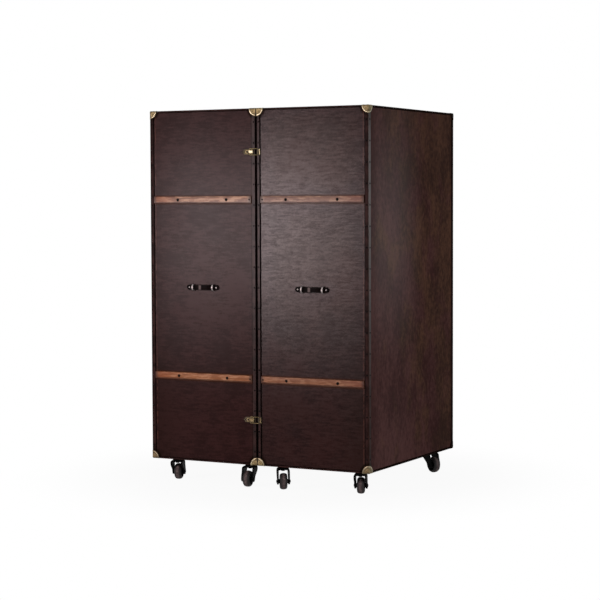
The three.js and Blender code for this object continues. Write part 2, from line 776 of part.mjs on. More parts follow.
// All eight casters, four under each half
function casters() {
  const group = new THREE.Group();
  const near = rimX + casterInset;
  const far = outerX - casterInset;
  const front = casterInset;
  const rear = trunkDepth - casterInset;
  const places = [
    ["left_front_outer", -far, front, trailLeftFrontOuter],
    ["left_front_inner", -near, front, trailLeftFrontInner],
    ["left_rear_outer", -far, rear, trailLeftRearOuter],
    ["left_rear_inner", -near, rear, trailLeftRearInner],
    ["right_front_inner", near, front, trailRightFrontInner],
    ["right_front_outer", far, front, trailRightFrontOuter],
    ["right_rear_inner", near, rear, trailRightRearInner],
    ["right_rear_outer", far, rear, trailRightRearOuter],
  ];
  const shapes = {
    plate: geometryOf(casterPlate()),
    fork: geometryOf(casterFork()),
    wheel: geometryOf(casterWheel()),
  };
  for (const [place, x, y, direction] of places) {
    const one = caster(place + "_caster", shapes, direction);
    one.position.set(x, y, 0);
    group.add(one);
  }
  return group;
}

// Tubular hanging rail from front to back, between two sockets screwed to the shell
function hangingRail() {
  const group = new THREE.Group();
  const middleX = -(roomBox.min.x + roomBox.max.x) / 2;
  const z = roomBox.max.z - railDrop;
  const room = roomBox.max.y - roomBox.min.y;
  const endGap = layerGap + socketFlangeThickness + runningGap;
  const tube = [
    [railBore, endGap],
    [railRadius, endGap],
    [railRadius, room - endGap],
    [railBore, room - endGap],
  ];
  const rail = piece("hanging_rail", turned(tube, railSides), paleSteel);
  const front = piece("rail_front_socket", railSocket(), paleSteel);
  const rear = piece("rail_rear_socket", railSocket(), paleSteel);
  front.position.y = layerGap;
  rear.position.y = room - layerGap;
  rear.rotation.z = Math.PI;
  group.add(rail, front, rear);
  group.position.set(middleX, roomBox.min.y, z);
  return group;
}

// Flanged cup that holds one end of the rail. Its flange lies in the plane Y = 0.
function railSocket() {
  const inside = railRadius + runningGap;
  const profile = [
    [0, 0],
    [socketFlangeRadius, 0],
    [socketFlangeRadius, socketFlangeThickness],
    [socketCupRadius, socketFlangeThickness],
    [socketCupRadius, socketDepth],
    [inside, socketDepth],
    [inside, socketFlangeThickness],
    [0, socketFlangeThickness],
  ];
  return turned(profile, railSides);
}

// Room that the drawer case fills, and the cell that each drawer runs in
const cellHeight = runningGap + drawerHeight + drawerTopGap;
const caseHeight = drawerCount * cellHeight + (drawerCount + 1) * caseBoard;
const caseBox = box3(
  roomBox.min.x + caseSetback,
  roomBox.max.x - layerGap,
  roomBox.min.y + layerGap,
  roomBox.max.y - layerGap,
  roomBox.min.z + layerGap,
  roomBox.min.z + layerGap + caseHeight,
);

function cellFloor(index) {
  return caseBox.min.z + caseBoard + index * (cellHeight + caseBoard);
}

function drawerUnit() {
  const group = new THREE.Group();
  group.add(piece("drawer_case", drawerCase(), drawerWood));
  for (let i = 0; i < drawerCount; i += 1) {
    const mesh = piece("drawer_" + (i + 1), drawer(), drawerWood);
    mesh.position.set(caseBox.min.x, trunkDepth / 2, cellFloor(i) + runningGap);
    group.add(mesh);
  }
  return group;
}

// Case of boards with one open cell for each drawer
function drawerCase() {
  let body = block(caseBox);
  for (let i = 0; i < drawerCount; i += 1) {
    const cell = box3(
      caseBox.min.x - cutOverrun,
      caseBox.max.x + cutOverrun,
      caseBox.min.y + caseBoard,
      caseBox.max.y - caseBoard,
      cellFloor(i),
      cellFloor(i) + cellHeight,
    );
    body = body.subtract(block(cell));
  }
  return body;
}

// Open-topped drawer, its front in the plane X = 0, with a rounded finger notch
function drawer() {
  const length = caseBox.max.x - caseBox.min.x - drawerBackGap;
  const half = (caseBox.max.y - caseBox.min.y) / 2 - caseBoard - drawerSideGap;
  const outside = box3(0, length, -half, half, 0, drawerHeight);
  const inside = box3(
    drawerFront,
    length - drawerWall,
    drawerWall - half,
    half - drawerWall,
    drawerBottom,
    drawerHeight + cutOverrun,
  );
  const notchZ = drawerHeight - drawerNotchDrop + drawerNotchRadius;
  const start = new THREE.Vector3(-cutOverrun, 0, notchZ);
  const end = new THREE.Vector3(drawerFront + cutOverrun, 0, notchZ);
  const notch = rod(start, end, drawerNotchRadius, cornerSides);
  return block(outside).subtract(block(inside)).subtract(notch);
}

function wardrobeTrunk() {
  const trunk = new THREE.Group();
  trunk.add(half("left", true), half("right", false), hinge(), casters());
  trunk.add(hangingRail(), drawerUnit());
  const latchHeights = { upper: boxTop - upperLatchDrop, lower: boxBottom + lowerLatchRise };
  for (const [level, z] of Object.entries(latchHeights)) {
    const one = latch(level);
    one.position.z = z;
    trunk.add(one);
  }
  return trunk;
}

// The origin lies on the floor under the middle of everything that the trunk holds.
const group = wardrobeTrunk();
const reach = new THREE.Box3().setFromObject(group);
group.position.y = -(reach.min.y + reach.max.y) / 2;

export default group;
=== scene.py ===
from math import asin, atan2, copysign, cos, degrees, hypot, pi, radians, sin, sqrt

import bmesh
import bpy
from mathutils import Matrix, Vector


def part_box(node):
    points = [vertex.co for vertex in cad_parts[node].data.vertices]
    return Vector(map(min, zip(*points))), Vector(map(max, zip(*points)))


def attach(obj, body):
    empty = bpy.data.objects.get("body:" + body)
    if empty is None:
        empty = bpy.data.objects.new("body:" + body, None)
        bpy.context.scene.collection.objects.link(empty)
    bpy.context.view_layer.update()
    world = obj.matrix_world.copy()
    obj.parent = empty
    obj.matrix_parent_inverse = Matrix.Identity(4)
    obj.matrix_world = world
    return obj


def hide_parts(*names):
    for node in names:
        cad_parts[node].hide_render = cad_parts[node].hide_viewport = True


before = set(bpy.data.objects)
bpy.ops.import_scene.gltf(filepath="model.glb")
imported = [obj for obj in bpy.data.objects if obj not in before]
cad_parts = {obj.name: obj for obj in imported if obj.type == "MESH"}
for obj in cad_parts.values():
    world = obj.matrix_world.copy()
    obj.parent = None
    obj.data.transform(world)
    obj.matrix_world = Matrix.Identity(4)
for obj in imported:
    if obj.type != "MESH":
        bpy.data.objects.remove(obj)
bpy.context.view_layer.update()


# Leather covers
# Each half is a plywood box in one hide of dark waxed leather, glued down flat. Handling and
# polish have left it cloudy, with fine level stretch lines and redder, drier places at the side.

halves = {"left": -1, "right": 1}
lobe_thickness = 0.0012
lowest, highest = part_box("right_binding")
rim = lowest.x
outer = highest.x - lobe_thickness
front = lowest.y + lobe_thickness
back = highest.y - lobe_thickness
bottom = lowest.z + lobe_thickness
top = highest.z - lobe_thickness
cover_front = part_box("right_cover")[0].y


def middle(node):
    low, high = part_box(node)
    return (low + high) / 2


lower_slat = middle("right_lower_slat").z
upper_slat = middle("right_upper_slat").z


class Value:
    """A number or vector in a material. Arithmetic on it makes Math nodes."""

    def __init__(self, finish, socket):
        self.finish = finish
        self.socket = socket

    def math(self, operation, *others):
        return self.finish.node("Math", dict(enumerate([self, *others])), operation=operation)

    def __add__(self, other):
        return self.math("ADD", other)

    def __mul__(self, other):
        return self.math("MULTIPLY", other)

    def __sub__(self, other):
        return self.math("SUBTRACT", other)

    def __rsub__(self, other):
        return self.math("MULTIPLY_ADD", -1, other)

    def __pow__(self, other):
        return self.math("POWER", other)

    def __abs__(self):
        return self.math("ABSOLUTE")

    __radd__ = __add__
    __rmul__ = __mul__

    def ramp(self, low, high):
        """0 below low, 1 above high, and a smooth rise between them."""
        sockets = {0: self, 1: low, 2: high}
        return self.finish.node("MapRange", sockets, interpolation_type="SMOOTHSTEP")


class Finish:
    """A material in the making. Its textures follow the place on the object, in metres."""

    def __init__(self, name, holder=None):
        self.name = name
        self.material = holder or bpy.data.materials.new(name)
        self.material.use_nodes = True
        self.tree = self.material.node_tree
        self.place = self.node("TexCoord", output="Object")

    def node(self, kind, sockets=None, output=0, **settings):
        node = self.tree.nodes.new(f"ShaderNode{kind}")
        for name, value in settings.items():
            setattr(node, name, value)
        self.feed(node, sockets or {})
        return Value(self, node.outputs[output])

    def feed(self, node, sockets):
        for key, value in sockets.items():
            if isinstance(value, Value):
                self.tree.links.new(value.socket, node.inputs[key])
            else:
                node.inputs[key].default_value = value

    def noise(self, scale, detail=3, stretch=(1, 1, 1)):
        place = self.node("VectorMath", {0: self.place, 1: stretch}, operation="MULTIPLY")
        return self.node("TexNoise", {"Vector": place, "Scale": scale, "Detail": detail})

    def pebbles(self, scale):
        return self.node("TexVoronoi", {"Vector": self.place, "Scale": scale})

    def along(self, axis):
        return self.node("SeparateXYZ", {0: self.place}, axis)

    def cap_shadow(self):
        """1 beside the front corner pieces, in the ring where their shadow is painted dark, and 0
        further off.
        """
        x = (outer - rim) / 2 - abs(abs(self.along("X")) - (outer + rim) / 2)
        z = (top - bottom) / 2 - abs(self.along("Z") - (top + bottom) / 2)
        return ((x * x + z * z) ** 0.5).ramp(0.047, 0.036)

    def tone(self):
        """1 where the mesh is marked dark, -1 where it is marked as rubbed bare."""
        return self.node("Attribute", output="Fac", attribute_name="tone")

    def dark(self):
        return self.tone().ramp(0, 1)

    def bare(self):
        return self.tone().ramp(0, -1)

    def mix(self, share, first, second):
        return self.node("Mix", {0: share, 6: first, 7: second}, 2, data_type="RGBA")

    def layered(self, color, *layers):
        """Lays more colours over a colour, each by its share."""
        for share, layer in layers:
            color = self.mix(share, color, layer)
        return color

    def bump(self, height, depth):
        return self.node("Bump", {"Height": height, "Distance": depth})

    def surface(self, sockets):
        self.feed(self.tree.nodes["Principled BSDF"], sockets)
        return self


def paint(red, green, blue):
    """A colour written as it looks on a screen, from 0 to 255."""
    shares = [channel / 255 for channel in (red, green, blue)]
    linear = [s / 12.92 if s <= 0.04045 else ((s + 0.055) / 1.055) ** 2.4 for s in shares]
    return (*linear, 1)


def cover_leather(name, front_dark, front_light, polish, streaks, top_fade, seam_fade):
    """Level is the height, depth grows to the back, and across is the distance from the seam."""
    leather = Finish(name)
    sideways, depth, level = map(leather.along, "XYZ")
    across = abs(sideways)
    cloud = leather.noise(2.6, 3)
    patch = leather.noise(11, 4)
    fleck = leather.noise(60, 4)
    speck = leather.noise(170, 2)
    streak = leather.noise(1, 4, (28, 28, 150))
    brushed = leather.noise(1, 4, (80, 80, 40))
    drift = leather.noise(6, 4, (1, 1, 0.6))

    shade = cloud * 0.3 + patch * 0.25 + streak * 0.3 + speck * 0.15
    # Painted shade: the front is darkened towards its lower outer edge, where the softbox light falls
    # off, and in a shadow line beside the seam strip.
    edge_shade = (across.ramp(0.3, 0.49) * level.ramp(0.85, 0.3)
              + across.ramp(0.0262, 0.0240)) * 0.4
    # Painted shadow: a dark ring round each front corner piece, where the leather is also less glossy.
    cap_shade = leather.cap_shadow()
    # Painted shade: a browner, less glossy band beside the slats stands in for their contact shadow.
    from_slat = abs(abs(level - (upper_slat + lower_slat) / 2) - (upper_slat - lower_slat) / 2)
    slat_shade = from_slat.ramp(0.023, 0.015)
    rubbed = abs(across - 0.474).ramp(0.003, 0.0008) * fleck.ramp(0.4, 0.6)
    front_color = leather.layered(
        front_dark,
        (shade.ramp(0.43, 0.57), front_light),
        (edge_shade + cap_shade * 0.85, painted_shade_brown),
        (slat_shade * 0.4, slat_shade_brown),
        (rubbed * 0.4, dry_leather))

    toward_front = depth.ramp(-0.3, -0.39)
    mottle = (drift * 0.5 + brushed * 0.25 + fleck * 0.25).ramp(0.39, 0.64)
    warm = leather.noise(8, 3, (1, 1, 0.7)) + depth * 0.32 + level * 0.1
    side_color = leather.layered(
        side_dark,
        (mottle, side_light),
        (warm.ramp(0.48, 0.72) * 0.85, leather.mix(mottle, warm_dark, warm_light)),
        # Darker towards the top and towards the front edge.
        (level.ramp(1.15, 1.6) * 0.3 + toward_front * 0.3, side_darker))

    uneven = (fleck.ramp(0.35, 0.65) * 0.12 + streak.ramp(0.35, 0.65) * 0.5
              + speck.ramp(0.35, 0.65) * 0.38)
    gloss = (polish * (1 + (uneven - 0.5) * streaks) * (1 - across.ramp(0.4, 0.49) * 0.12)
             * (1 - level.ramp(1.2, 1.5) * top_fade) * (1 - level.ramp(0.6, 0.3) * 0.3)
             * (1 - sideways.ramp(-0.34, -0.05) * seam_fade)
             * (1 - cap_shade * 0.8) * (1 - slat_shade * 0.35))
    side_gloss = depth.ramp(0.14, -0.2) * (1 - toward_front * 0.45)
    side_gloss = side_gloss * (0.15 + abs(level - 1.04).ramp(0.62, 0.05) * 0.85) * 0.23 + 0.04
    on_side = depth.ramp(cover_front + 0.0011, cover_front + 0.0021)
    grain = leather.pebbles(700) * 0.4 + fleck * 0.8 + streak * 0.25
    return leather.surface({
        "Base Color": leather.mix(on_side, front_color, side_color),
        "Roughness": 0.5 + patch * 0.2,
        "Specular IOR Level": 0,
        "Coat Weight": gloss * (1 - on_side) + side_gloss * on_side,
        "Coat Roughness": 0.27,
        "Normal": leather.bump(grain, 0.00012),
        "Coat Normal": leather.bump(grain, 0.00005),
    })


# Painted shade: the brown-black laid into the leather at shaded edges, round the corner pieces and at
# the strips' outer turn.
painted_shade_brown = paint(20, 10, 5)
side_dark = paint(49, 24, 23)
side_light = paint(76, 47, 45)
warm_dark = paint(45, 27, 20)
warm_light = paint(82, 55, 40)
# Painted shade beside the slats.
slat_shade_brown = paint(66, 34, 14)
side_darker = paint(36, 16, 13)
dry_leather = paint(92, 56, 46)


def dress(node, finish):
    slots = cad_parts[node].data.materials
    for i in range(len(slots)):
        slots[i] = finish.material


dress("left_cover", cover_leather("left_cover_leather", paint(33, 16, 15), paint(45, 24, 23),
                                  0.105, 0.4, 0.25, 0.26))
dress("right_cover", cover_leather("right_cover_leather", paint(28, 11, 10), paint(39, 17, 15),
                                   0.176, 0.72, 0.12, 0))


# Leather edge strips
# Every edge of a half is bound with a folded strip of darker leather. Its cut edges are dyed and
# rolled over, and at the seam the darker dyeing also paints shade. It is tacked down along the
# upright edges, and its ends lie under the corner pieces.

def arc(radius, start, end, steps, center=(0, 0)):
    """Points on an arc between two angles in degrees, both ends included."""
    angles = [radians(start + (end - start) * k / steps) for k in range(steps + 1)]
    x, y = center
    return [(x + radius * cos(a), y + radius * sin(a)) for a in angles]


def circle(radius, sides):
    return arc(radius, 0, 360, sides)[:-1]


def placed(name, data):
    thing = bpy.data.objects.new(name, data)
    bpy.context.scene.collection.objects.link(thing)
    return thing


class Form:
    """Closed shapes in the making that become one piece."""

    def __init__(self, place=Matrix()):
        self.place = place
        self.mesh = bmesh.new()
        self.tone = self.mesh.verts.layers.float.new("tone")

    def loft(self, rings, tones=None, closed=False):
        """Skins a chain of rings, and caps its ends or joins them."""
        rows = []
        for i, ring in enumerate(rings):
            row = [self.mesh.verts.new(self.place @ Vector(point)) for point in ring]
            for k, vertex in enumerate(row):
                vertex[self.tone] = tones(i, k) if tones else 0
            rows.append(row)
        spans = list(zip(rows, rows[1:]))
        if closed:
            spans.append((rows[-1], rows[0]))
        else:
            self.mesh.faces.new(rows[0])
            self.mesh.faces.new(rows[-1])
        for one, two in spans:
            for k in range(len(one)):
                self.mesh.faces.new((one[k - 1], one[k], two[k], two[k - 1]))

    def turned(self, profile, place=Matrix(), sides=32, tones=None):
        """Turns (radius, height) points about the Z axis of a placement."""
        rings = [[place @ Vector((x, y, h)) for x, y in circle(r, sides)] for r, h in profile]
        self.loft(rings, tones and (lambda i, k: tones[i]))

    def slab(self, outline, low, high, edge, place=Matrix(), tones=None):
        """A plate between two heights, with that outline and a rounded upper edge."""
        levels = [(0, low), (0, high - edge), (0.3 * edge, high - 0.3 * edge), (edge, high)]
        rings = [[place @ Vector((x, y, z)) for x, y in inset(outline, by)] for by, z in levels]
        self.loft(rings, tones and (lambda i, k: tones[i]))

    def sweep(self, path, section, side, tones=None):
        """Carries a section along a path. Its first axis starts in the side direction."""
        points = [Vector(point) for point in path]
        side = Vector(side)
        rings = []
        for i, point in enumerate(points):
            ahead = (points[min(i + 1, len(points) - 1)] - points[max(i - 1, 0)]).normalized()
            side = (side - ahead * side.dot(ahead)).normalized()
            across = ahead.cross(side)
            rings.append([point + side * a + across * b for a, b in section])
        self.loft(rings, tones)

    def piece(self, name, body, finish, replaced=()):
        """Ends the form. It becomes a piece, which can take over CAD nodes."""
        mesh = self.mesh
        bmesh.ops.remove_doubles(mesh, verts=mesh.verts, dist=1e-6)
        bmesh.ops.dissolve_degenerate(mesh, edges=mesh.edges, dist=1e-6)
        bmesh.ops.recalc_face_normals(mesh, faces=mesh.faces)
        data = bpy.data.meshes.new(name)
        mesh.to_mesh(data)
        mesh.free()
        data.materials.append(finish.material)
        data.shade_smooth()
        data.set_sharp_from_angle(angle=sharp_edge)
        piece = placed(name, data)
        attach(piece, body)
        if replaced:
            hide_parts(*replaced)


def inset(outline, distance):
    """An anticlockwise outline, moved inwards."""
    moved = []
    for i, here in enumerate(outline):
        here = Vector(here)
        before = (here - Vector(outline[i - 1])).normalized()
        after = (Vector(outline[(i + 1) % len(outline)]) - here).normalized()
        inward = (before + after).orthogonal().normalized()
        lean = max(inward.dot(before.orthogonal()), 0.4)
        moved.append(here + inward * distance / lean)
    return moved


sharp_edge = radians(35)
strip_width = 0.019
strip_lip = 0.009
strip_turn = 0.003
strip_thickness = cover_front - front
rim_width = 0.0161
under_cap = 0.022

binding = Finish("binding_leather")
rub = binding.noise(24, 4)
grain = binding.pebbles(800) * 0.5 + binding.noise(300, 4) * 0.6
sideways, depth, level = map(binding.along, "XYZ")
across = abs(sideways)
# Painted shade: the outer front strips are darkened where they turn round onto the side, away from the
# softbox.
turn_shade = across.ramp(0.4915, 0.4945) * depth.ramp(-0.4070, -0.4105)
by_side = 0.28 + depth.ramp(-0.388, -0.407) * 0.42
by_side = by_side * (0.15 + level.ramp(0.28, 1.1) * 0.85) * (1 - level.ramp(1.36, 1.5) * 0.5)
handled = (across.ramp(0.0225, 0.0205) * 0.085
           + across.ramp(0.4965, 0.4978) * depth.ramp(-0.386, -0.392) * by_side)
binding.surface({
    "Base Color": binding.layered(
        paint(30, 19, 18),
        (rub.ramp(0.38, 0.64), paint(48, 31, 29)),
        (binding.bare() * 0.5, paint(70, 50, 46)),
        # Painted shadow round the corner pieces and painted shade at the outer turn.
        (binding.cap_shadow() * 0.85 + turn_shade * 0.5, painted_shade_brown),
        # Tone 1 is the dyed edges, and at the seam it is also painted shadow.
        (binding.dark(), paint(9, 5, 5))),
    "Roughness": 0.5 + rub * 0.25,
    "Specular IOR Level": 0,
    "Coat Weight": (0.02 + handled) * (1 - binding.tone().ramp(0, 0.8)),
    "Coat Roughness": 0.3,
    "Normal": binding.bump(grain, 0.00014),
})

# How far the dyed band reaches from the turn and from the cut edge, and how dark that edge is. At the
# seam the dark turns also paint the shadow in the gap between the halves, and the right half's
# wider, darker cut edge paints the shadow beside its strip.
plain_dye = (0, 0.0022, 1)
seam_dye_and_shade = {"left": (0.0030, 0.0012, 0.2), "right": (0.0030, 0.0046, 0.9)}


def strip_section(width, other_width, dye_and_shade):
    """Distances from the two outer faces, with the tone at each point."""
    t = strip_turn
    turn_reach, edge_reach, edge_tone = dye_and_shade
    turn_tone = 1 if turn_reach else -0.5
    turn_end = max(turn_reach, t + 0.0008)
    return [
        *((t - x, t - y, turn_tone) for x, y in arc(t, 0, 90, 5)),
        (turn_end, 0, max(turn_tone, 0)), (turn_end + 0.0014, 0, 0),
        (width - edge_reach - 0.0008, 0, 0), (width - edge_reach, 0, edge_tone),
        (width - 0.0006, 0.0004, edge_tone), (width, 0.0013, 1), (width, strip_thickness, 1),
        (strip_thickness, strip_thickness, 0), (strip_thickness, other_width, 1),
        (0.0013, other_width, 1), (0.0004, other_width - 0.0006, 0.8),
        (0, other_width - 0.0022, 0), (0, t + 0.002, 0)]


def folded_strip(form, start, end, inward, other_inward, width, other_width, dye_and_shade=plain_dye):
    start, end, inward, other_inward = map(Vector, (start, end, inward, other_inward))
    length = (end - start).length
    stations = max(2, round(length / 0.028))
    rings = []
    for i in range(stations + 1):
        s = length * i / stations
        sway = 0.00025 * (sin(41 * s + start.x * 60) + sin(97 * s + start.z * 9))
        section = strip_section(width + sway, other_width - sway, dye_and_shade)
        point = start.lerp(end, i / stations)
        rings.append([point + inward * a + other_inward * b for a, b, _ in section])
    tones = [tone for _, _, tone in strip_section(width, other_width, dye_and_shade)]
    form.loft(rings, lambda i, k: tones[k])


for side, sign in halves.items():
    strips = Form(Matrix.Diagonal((sign, 1, 1, 1)))
    inner_x, outer_x = rim + under_cap, outer - under_cap
    for y, into_y in ((front, 1), (back, -1)):
        folded_strip(strips, (outer, y, bottom + under_cap), (outer, y, top - under_cap),
                     (-1, 0, 0), (0, into_y, 0), strip_width, strip_width)
        folded_strip(strips, (rim, y, bottom), (rim, y, top),
                     (1, 0, 0), (0, into_y, 0), strip_width, rim_width, seam_dye_and_shade[side])
        for z, into_z in ((bottom, 1), (top, -1)):
            folded_strip(strips, (inner_x, y, z), (outer_x, y, z),
                         (0, 0, into_z), (0, into_y, 0), strip_lip, strip_width)
    for z, into_z in ((bottom, 1), (top, -1)):
        folded_strip(strips, (outer, front + under_cap, z), (outer, back - under_cap, z),
                     (0, 0, into_z), (-1, 0, 0), strip_lip, strip_width)
        folded_strip(strips, (rim, front + rim_width, z), (rim, back - rim_width, z),
                     (0, 0, into_z), (1, 0, 0), rim_width, strip_width)
    strips.piece(f"{side}_edge_strips", f"{side}_half", binding, [f"{side}_binding"])


# Corner pieces
# The front corners have pressed brass pieces with a rolled rim. The corners at the back have
# leather patches of the same form. Each lobe is held by one nail.

at = Matrix.Translation


def upright(x, y, z, side):
    """A placement with its Y axis upright and its Z axis to the back, or to the front for -1."""
    return Matrix(((1, 0, 0, x), (0, 0, side, y), (0, 1, 0, z), (0, 0, 0, 1)))


def facing(point, direction):
    """A placement whose Z axis points in that direction."""
    lean = Vector((0, 0, 1)).rotation_difference(Vector(direction))
    return at(point) @ lean.to_matrix().to_4x4()


brass = Finish("aged_brass")
rub = brass.noise(60, 4)
fine = brass.noise(420, 3)
bare = brass.bare()
dark = brass.dark()
across = abs(brass.along("X"))
# Painted shade: the brass is darkened on the front faces of the outer pieces and lower down, where less
# of the softbox light reaches it.
outermost = across.ramp(0.2, 0.4) * (0.2 + rub * 0.2) * (1 - across.ramp(0.4972, 0.4984) * 0.9)
brass_shade = outermost + brass.along("Z").ramp(0.9, 0.5) * 0.2
brass.surface({
    "Base Color": brass.layered(
        paint(84, 73, 50),
        (rub.ramp(0.36, 0.66), paint(124, 111, 80)),
        # Bare brass is paler; on the upper latch that paleness also paints its highlight.
        (bare * (0.5 + rub.ramp(0.38, 0.6) * 0.5), paint(198, 192, 168)),
        (brass_shade, paint(52, 36, 30)),
        # Dark brass is patina in hollows, and painted shade at the caps' edges, by the seam and under
        # the latch plates.
        (dark * 0.95, paint(24, 16, 9))),
    "Metallic": 1 - dark * 0.5,
    "Roughness": 0.38 + fine * 0.12 + rub * 0.12 + dark * 0.2 - bare * 0.25,
    "Normal": brass.bump(fine, 0.00002),
})

# Radius, height above the faces, and tone. Tone 1 at a brass cap's outer edge paints the shadow round
# it.
cap_radius = 0.0325
patch_radius = 0.030
cap_foot = -0.0024
brass_cap = [(0, 0.0008, 0.3), (0.004, 0.0009, 0), (0.012, 0.0007, 0), (0.0205, 0.0006, 0.05),
             (0.0232, 0.0005, 0.25), (0.0248, 0.0008, 0), (0.0266, 0.0014, -0.45),
             (0.0292, 0.0014, -0.45), (0.0306, 0.0009, 0.3), (0.0314, 0.0004, 1),
             (cap_radius, 0.0003, 1), (cap_radius, cap_foot, 1), (0, cap_foot, 1)]
leather_cap = [(0, 0.0010, -0.6), (0.010, 0.0011, 0), (0.0245, 0.0011, 0), (0.0282, 0.0009, 0.2),
               (0.0296, 0.0004, 0.8), (patch_radius, -0.0004, 1), (patch_radius, cap_foot, 1),
               (0, cap_foot, 1)]
cap_rays = 9


def cap_point(spot, rise, at_rim):
    """Lays a spot, given by its distances from three outer faces, on the rounded corner."""
    core = [max(distance, strip_turn) for distance in spot]
    if at_rim:
        core[0] = spot[0]
    return Vector(core) + (Vector(spot) - Vector(core)).normalized() * (strip_turn + rise)


def corner_cap(form, profile, at_rim):
    faces = ((2, 0), (0, 1), (1, 2))[:3 - at_rim]
    rings = []
    for one, two in faces:
        for k in range(cap_rays + at_rim):
            angle = pi / 2 * k / cap_rays
            ring = []
            for radius, rise, _ in profile:
                spot = [0, 0, 0]
                spot[one] = radius * cos(angle)
                spot[two] = radius * sin(angle)
                ring.append(cap_point(spot, rise, at_rim))
            rings.append(ring)
    # The ends beside the seam are marked dark: painted shade in the seam.
    ends = (0, len(rings) - 1) if at_rim else ()
    form.loft(rings, lambda i, k: 0.8 if i in ends else profile[k][2], closed=not at_rim)


def dome(radius, rise):
    """A domed head, whose foot is sunk a little."""
    return [(radius, -0.0004), (radius, 0.25 * rise), (0.8 * radius, 0.72 * rise),
            (0.42 * radius, 0.95 * rise), (0, rise)]


nail_place = 0.0125
nail_sink = 0.0006
corner_nail = dome(0.0026, 0.0011)
for side, sign in halves.items():
    for level, z, down in (("top", top, -1), ("bottom", bottom, 1)):
        for depth, y, into in (("front", front, 1), ("back", back, -1)):
            profile, finish = brass_cap, brass
            if depth == "back":
                profile, finish = leather_cap, binding
            for edge, x, in_x in (("rim", rim, 1), ("outer", outer, -1)):
                at_rim = edge == "rim"
                inwards = Matrix.Diagonal((sign * in_x, down, 1, 1))
                cap = Form(upright(sign * x, y, z, into) @ inwards)
                corner_cap(cap, profile, at_rim)
                for face in range(at_rim, 3):
                    spot = Vector([nail_place] * 3)
                    spot[face] = -nail_sink
                    outward = Vector()
                    outward[face] = -1
                    cap.turned(corner_nail, facing(spot, outward), 14)
                cap.piece(f"{side}_{level}_{depth}_{edge}_corner", f"{side}_half", finish)


# Tacks
# Domed iron tacks hold the upright strips, one hand's width apart.

iron = Finish("black_iron")
rub = iron.noise(160, 4)
bare = iron.bare()
dark = iron.dark()
iron.surface({
    "Base Color": iron.layered(
        paint(3, 3, 3),
        (rub.ramp(0.42, 0.7), paint(13, 11, 11)),
        (bare, paint(150, 142, 134)),
        # Dark iron paints the shade in the screw slots and countersinks.
        (dark, paint(8, 6, 6))),
    "Metallic": bare * 0.9,
    "Roughness": 0.4 + rub * 0.25 + dark * 0.3,
    "Specular IOR Level": 0.03,
    "Normal": iron.bump(rub, 0.0001),
})

tack_pitch = 0.0825
tack_count = 17
first_tack = bottom + 0.055
tack = dome(0.0033, 0.0017)
for side, sign in halves.items():
    tacks = Form(Matrix.Diagonal((sign, 1, 1, 1)))
    across = strip_width / 2
    lines = [(outer - across, front, 0, -1), (rim + across, front, 0, -1),
             (outer, front + across, 1, 0), (outer, back - across, 1, 0),
             (outer - across, back, 0, 1)]
    for x, y, out_x, out_y in lines:
        for i in range(tack_count):
            spot = (x, y, first_tack + i * tack_pitch)
            tacks.turned(tack, facing(spot, (out_x, out_y, 0)), 12)
    tacks.piece(f"{side}_tacks", f"{side}_half", iron)


# Wooden slats
# Two oiled battens cross each front between the strips. Each is held by two screws, and by a nail
# at the end next to the seam, where the wood has gone pale.

def turn(angle, axis="Z"):
    return Matrix.Rotation(angle, 4, axis)


def screw(form, place, radius, slot_turn=0.6):
    """A slotted head: two half discs over a bed, in a countersink disc; both are marked dark as painted
    shade.
    """
    for reach, foot, rise in ((1.35 * radius, -0.0004, 0.0002), (radius, 0, 0.0004)):
        form.turned([(reach, foot), (reach, rise), (0, rise)], place, 20, [1, 1, 1])
    start = degrees(asin(0.14 / 0.95))
    half_disc = arc(0.95 * radius, start, 180 - start, 9)
    for angle in (slot_turn, slot_turn + pi):
        form.slab(half_disc, 0, 0.0009, 0.0003, place @ turn(angle))


batten = Finish("slat_wood")
line = batten.noise(1, 4, (9, 90, 330))
board = batten.noise(1, 3, (25, 20, 120))
pore = batten.noise(1, 2, (60, 700, 1400))
crack = batten.noise(1, 4, (14, 60, 420))
sideways, _, level = map(batten.along, "XYZ")
upper = level.ramp(0.7, 0.9)
by_seam = abs(sideways).ramp(0.042, 0.030) * upper
batten.surface({
    "Base Color": batten.layered(
        paint(84, 47, 28),
        (line.ramp(0.38, 0.6), paint(150, 106, 78)),
        (board.ramp(0.50, 0.60) * 0.75, paint(182, 142, 112)),
        (board.ramp(0.48, 0.38) * 0.7, paint(88, 48, 26)),
        # Painted sheen: the upper slats are made paler and greyer where the softbox shines on them, the
        # lower ones more orange.
        (upper * 0.3, paint(134, 116, 106)),
        ((1 - upper) * 0.55, paint(134, 80, 40)),
        (sideways.ramp(-0.36, -0.46) * 0.6, paint(118, 62, 32)),
        (sideways.ramp(-0.05, 0.1) * 0.35, paint(84, 62, 56)),
        (sideways.ramp(0.37, 0.45) * 0.4, paint(96, 44, 34)),
        (by_seam * 0.6, paint(150, 132, 120)),
        (pore.ramp(0.56, 0.72) * 0.45, paint(58, 28, 17)),
        (crack.ramp(0.56, 0.66) * 0.5, paint(74, 36, 22)),
        # Tone 1 at the ends marks the darker end grain; along the long edges it is painted shade.
        (batten.dark() * 0.85, paint(40, 18, 11))),
    "Roughness": 0.45 + line * 0.2,
    "Specular IOR Level": 0.1,
    "Coat Weight": 0.04 + upper * 0.08,
    "Coat Roughness": 0.27,
    "Normal": batten.bump(line + pore * 0.4, 0.0002),
})

screw_places = (0.25, 0.75)
slat_screw = 0.0046
end_nail = dome(0.0034, 0.0014)
end_nail_inset = 0.008
edge_round = 0.0025
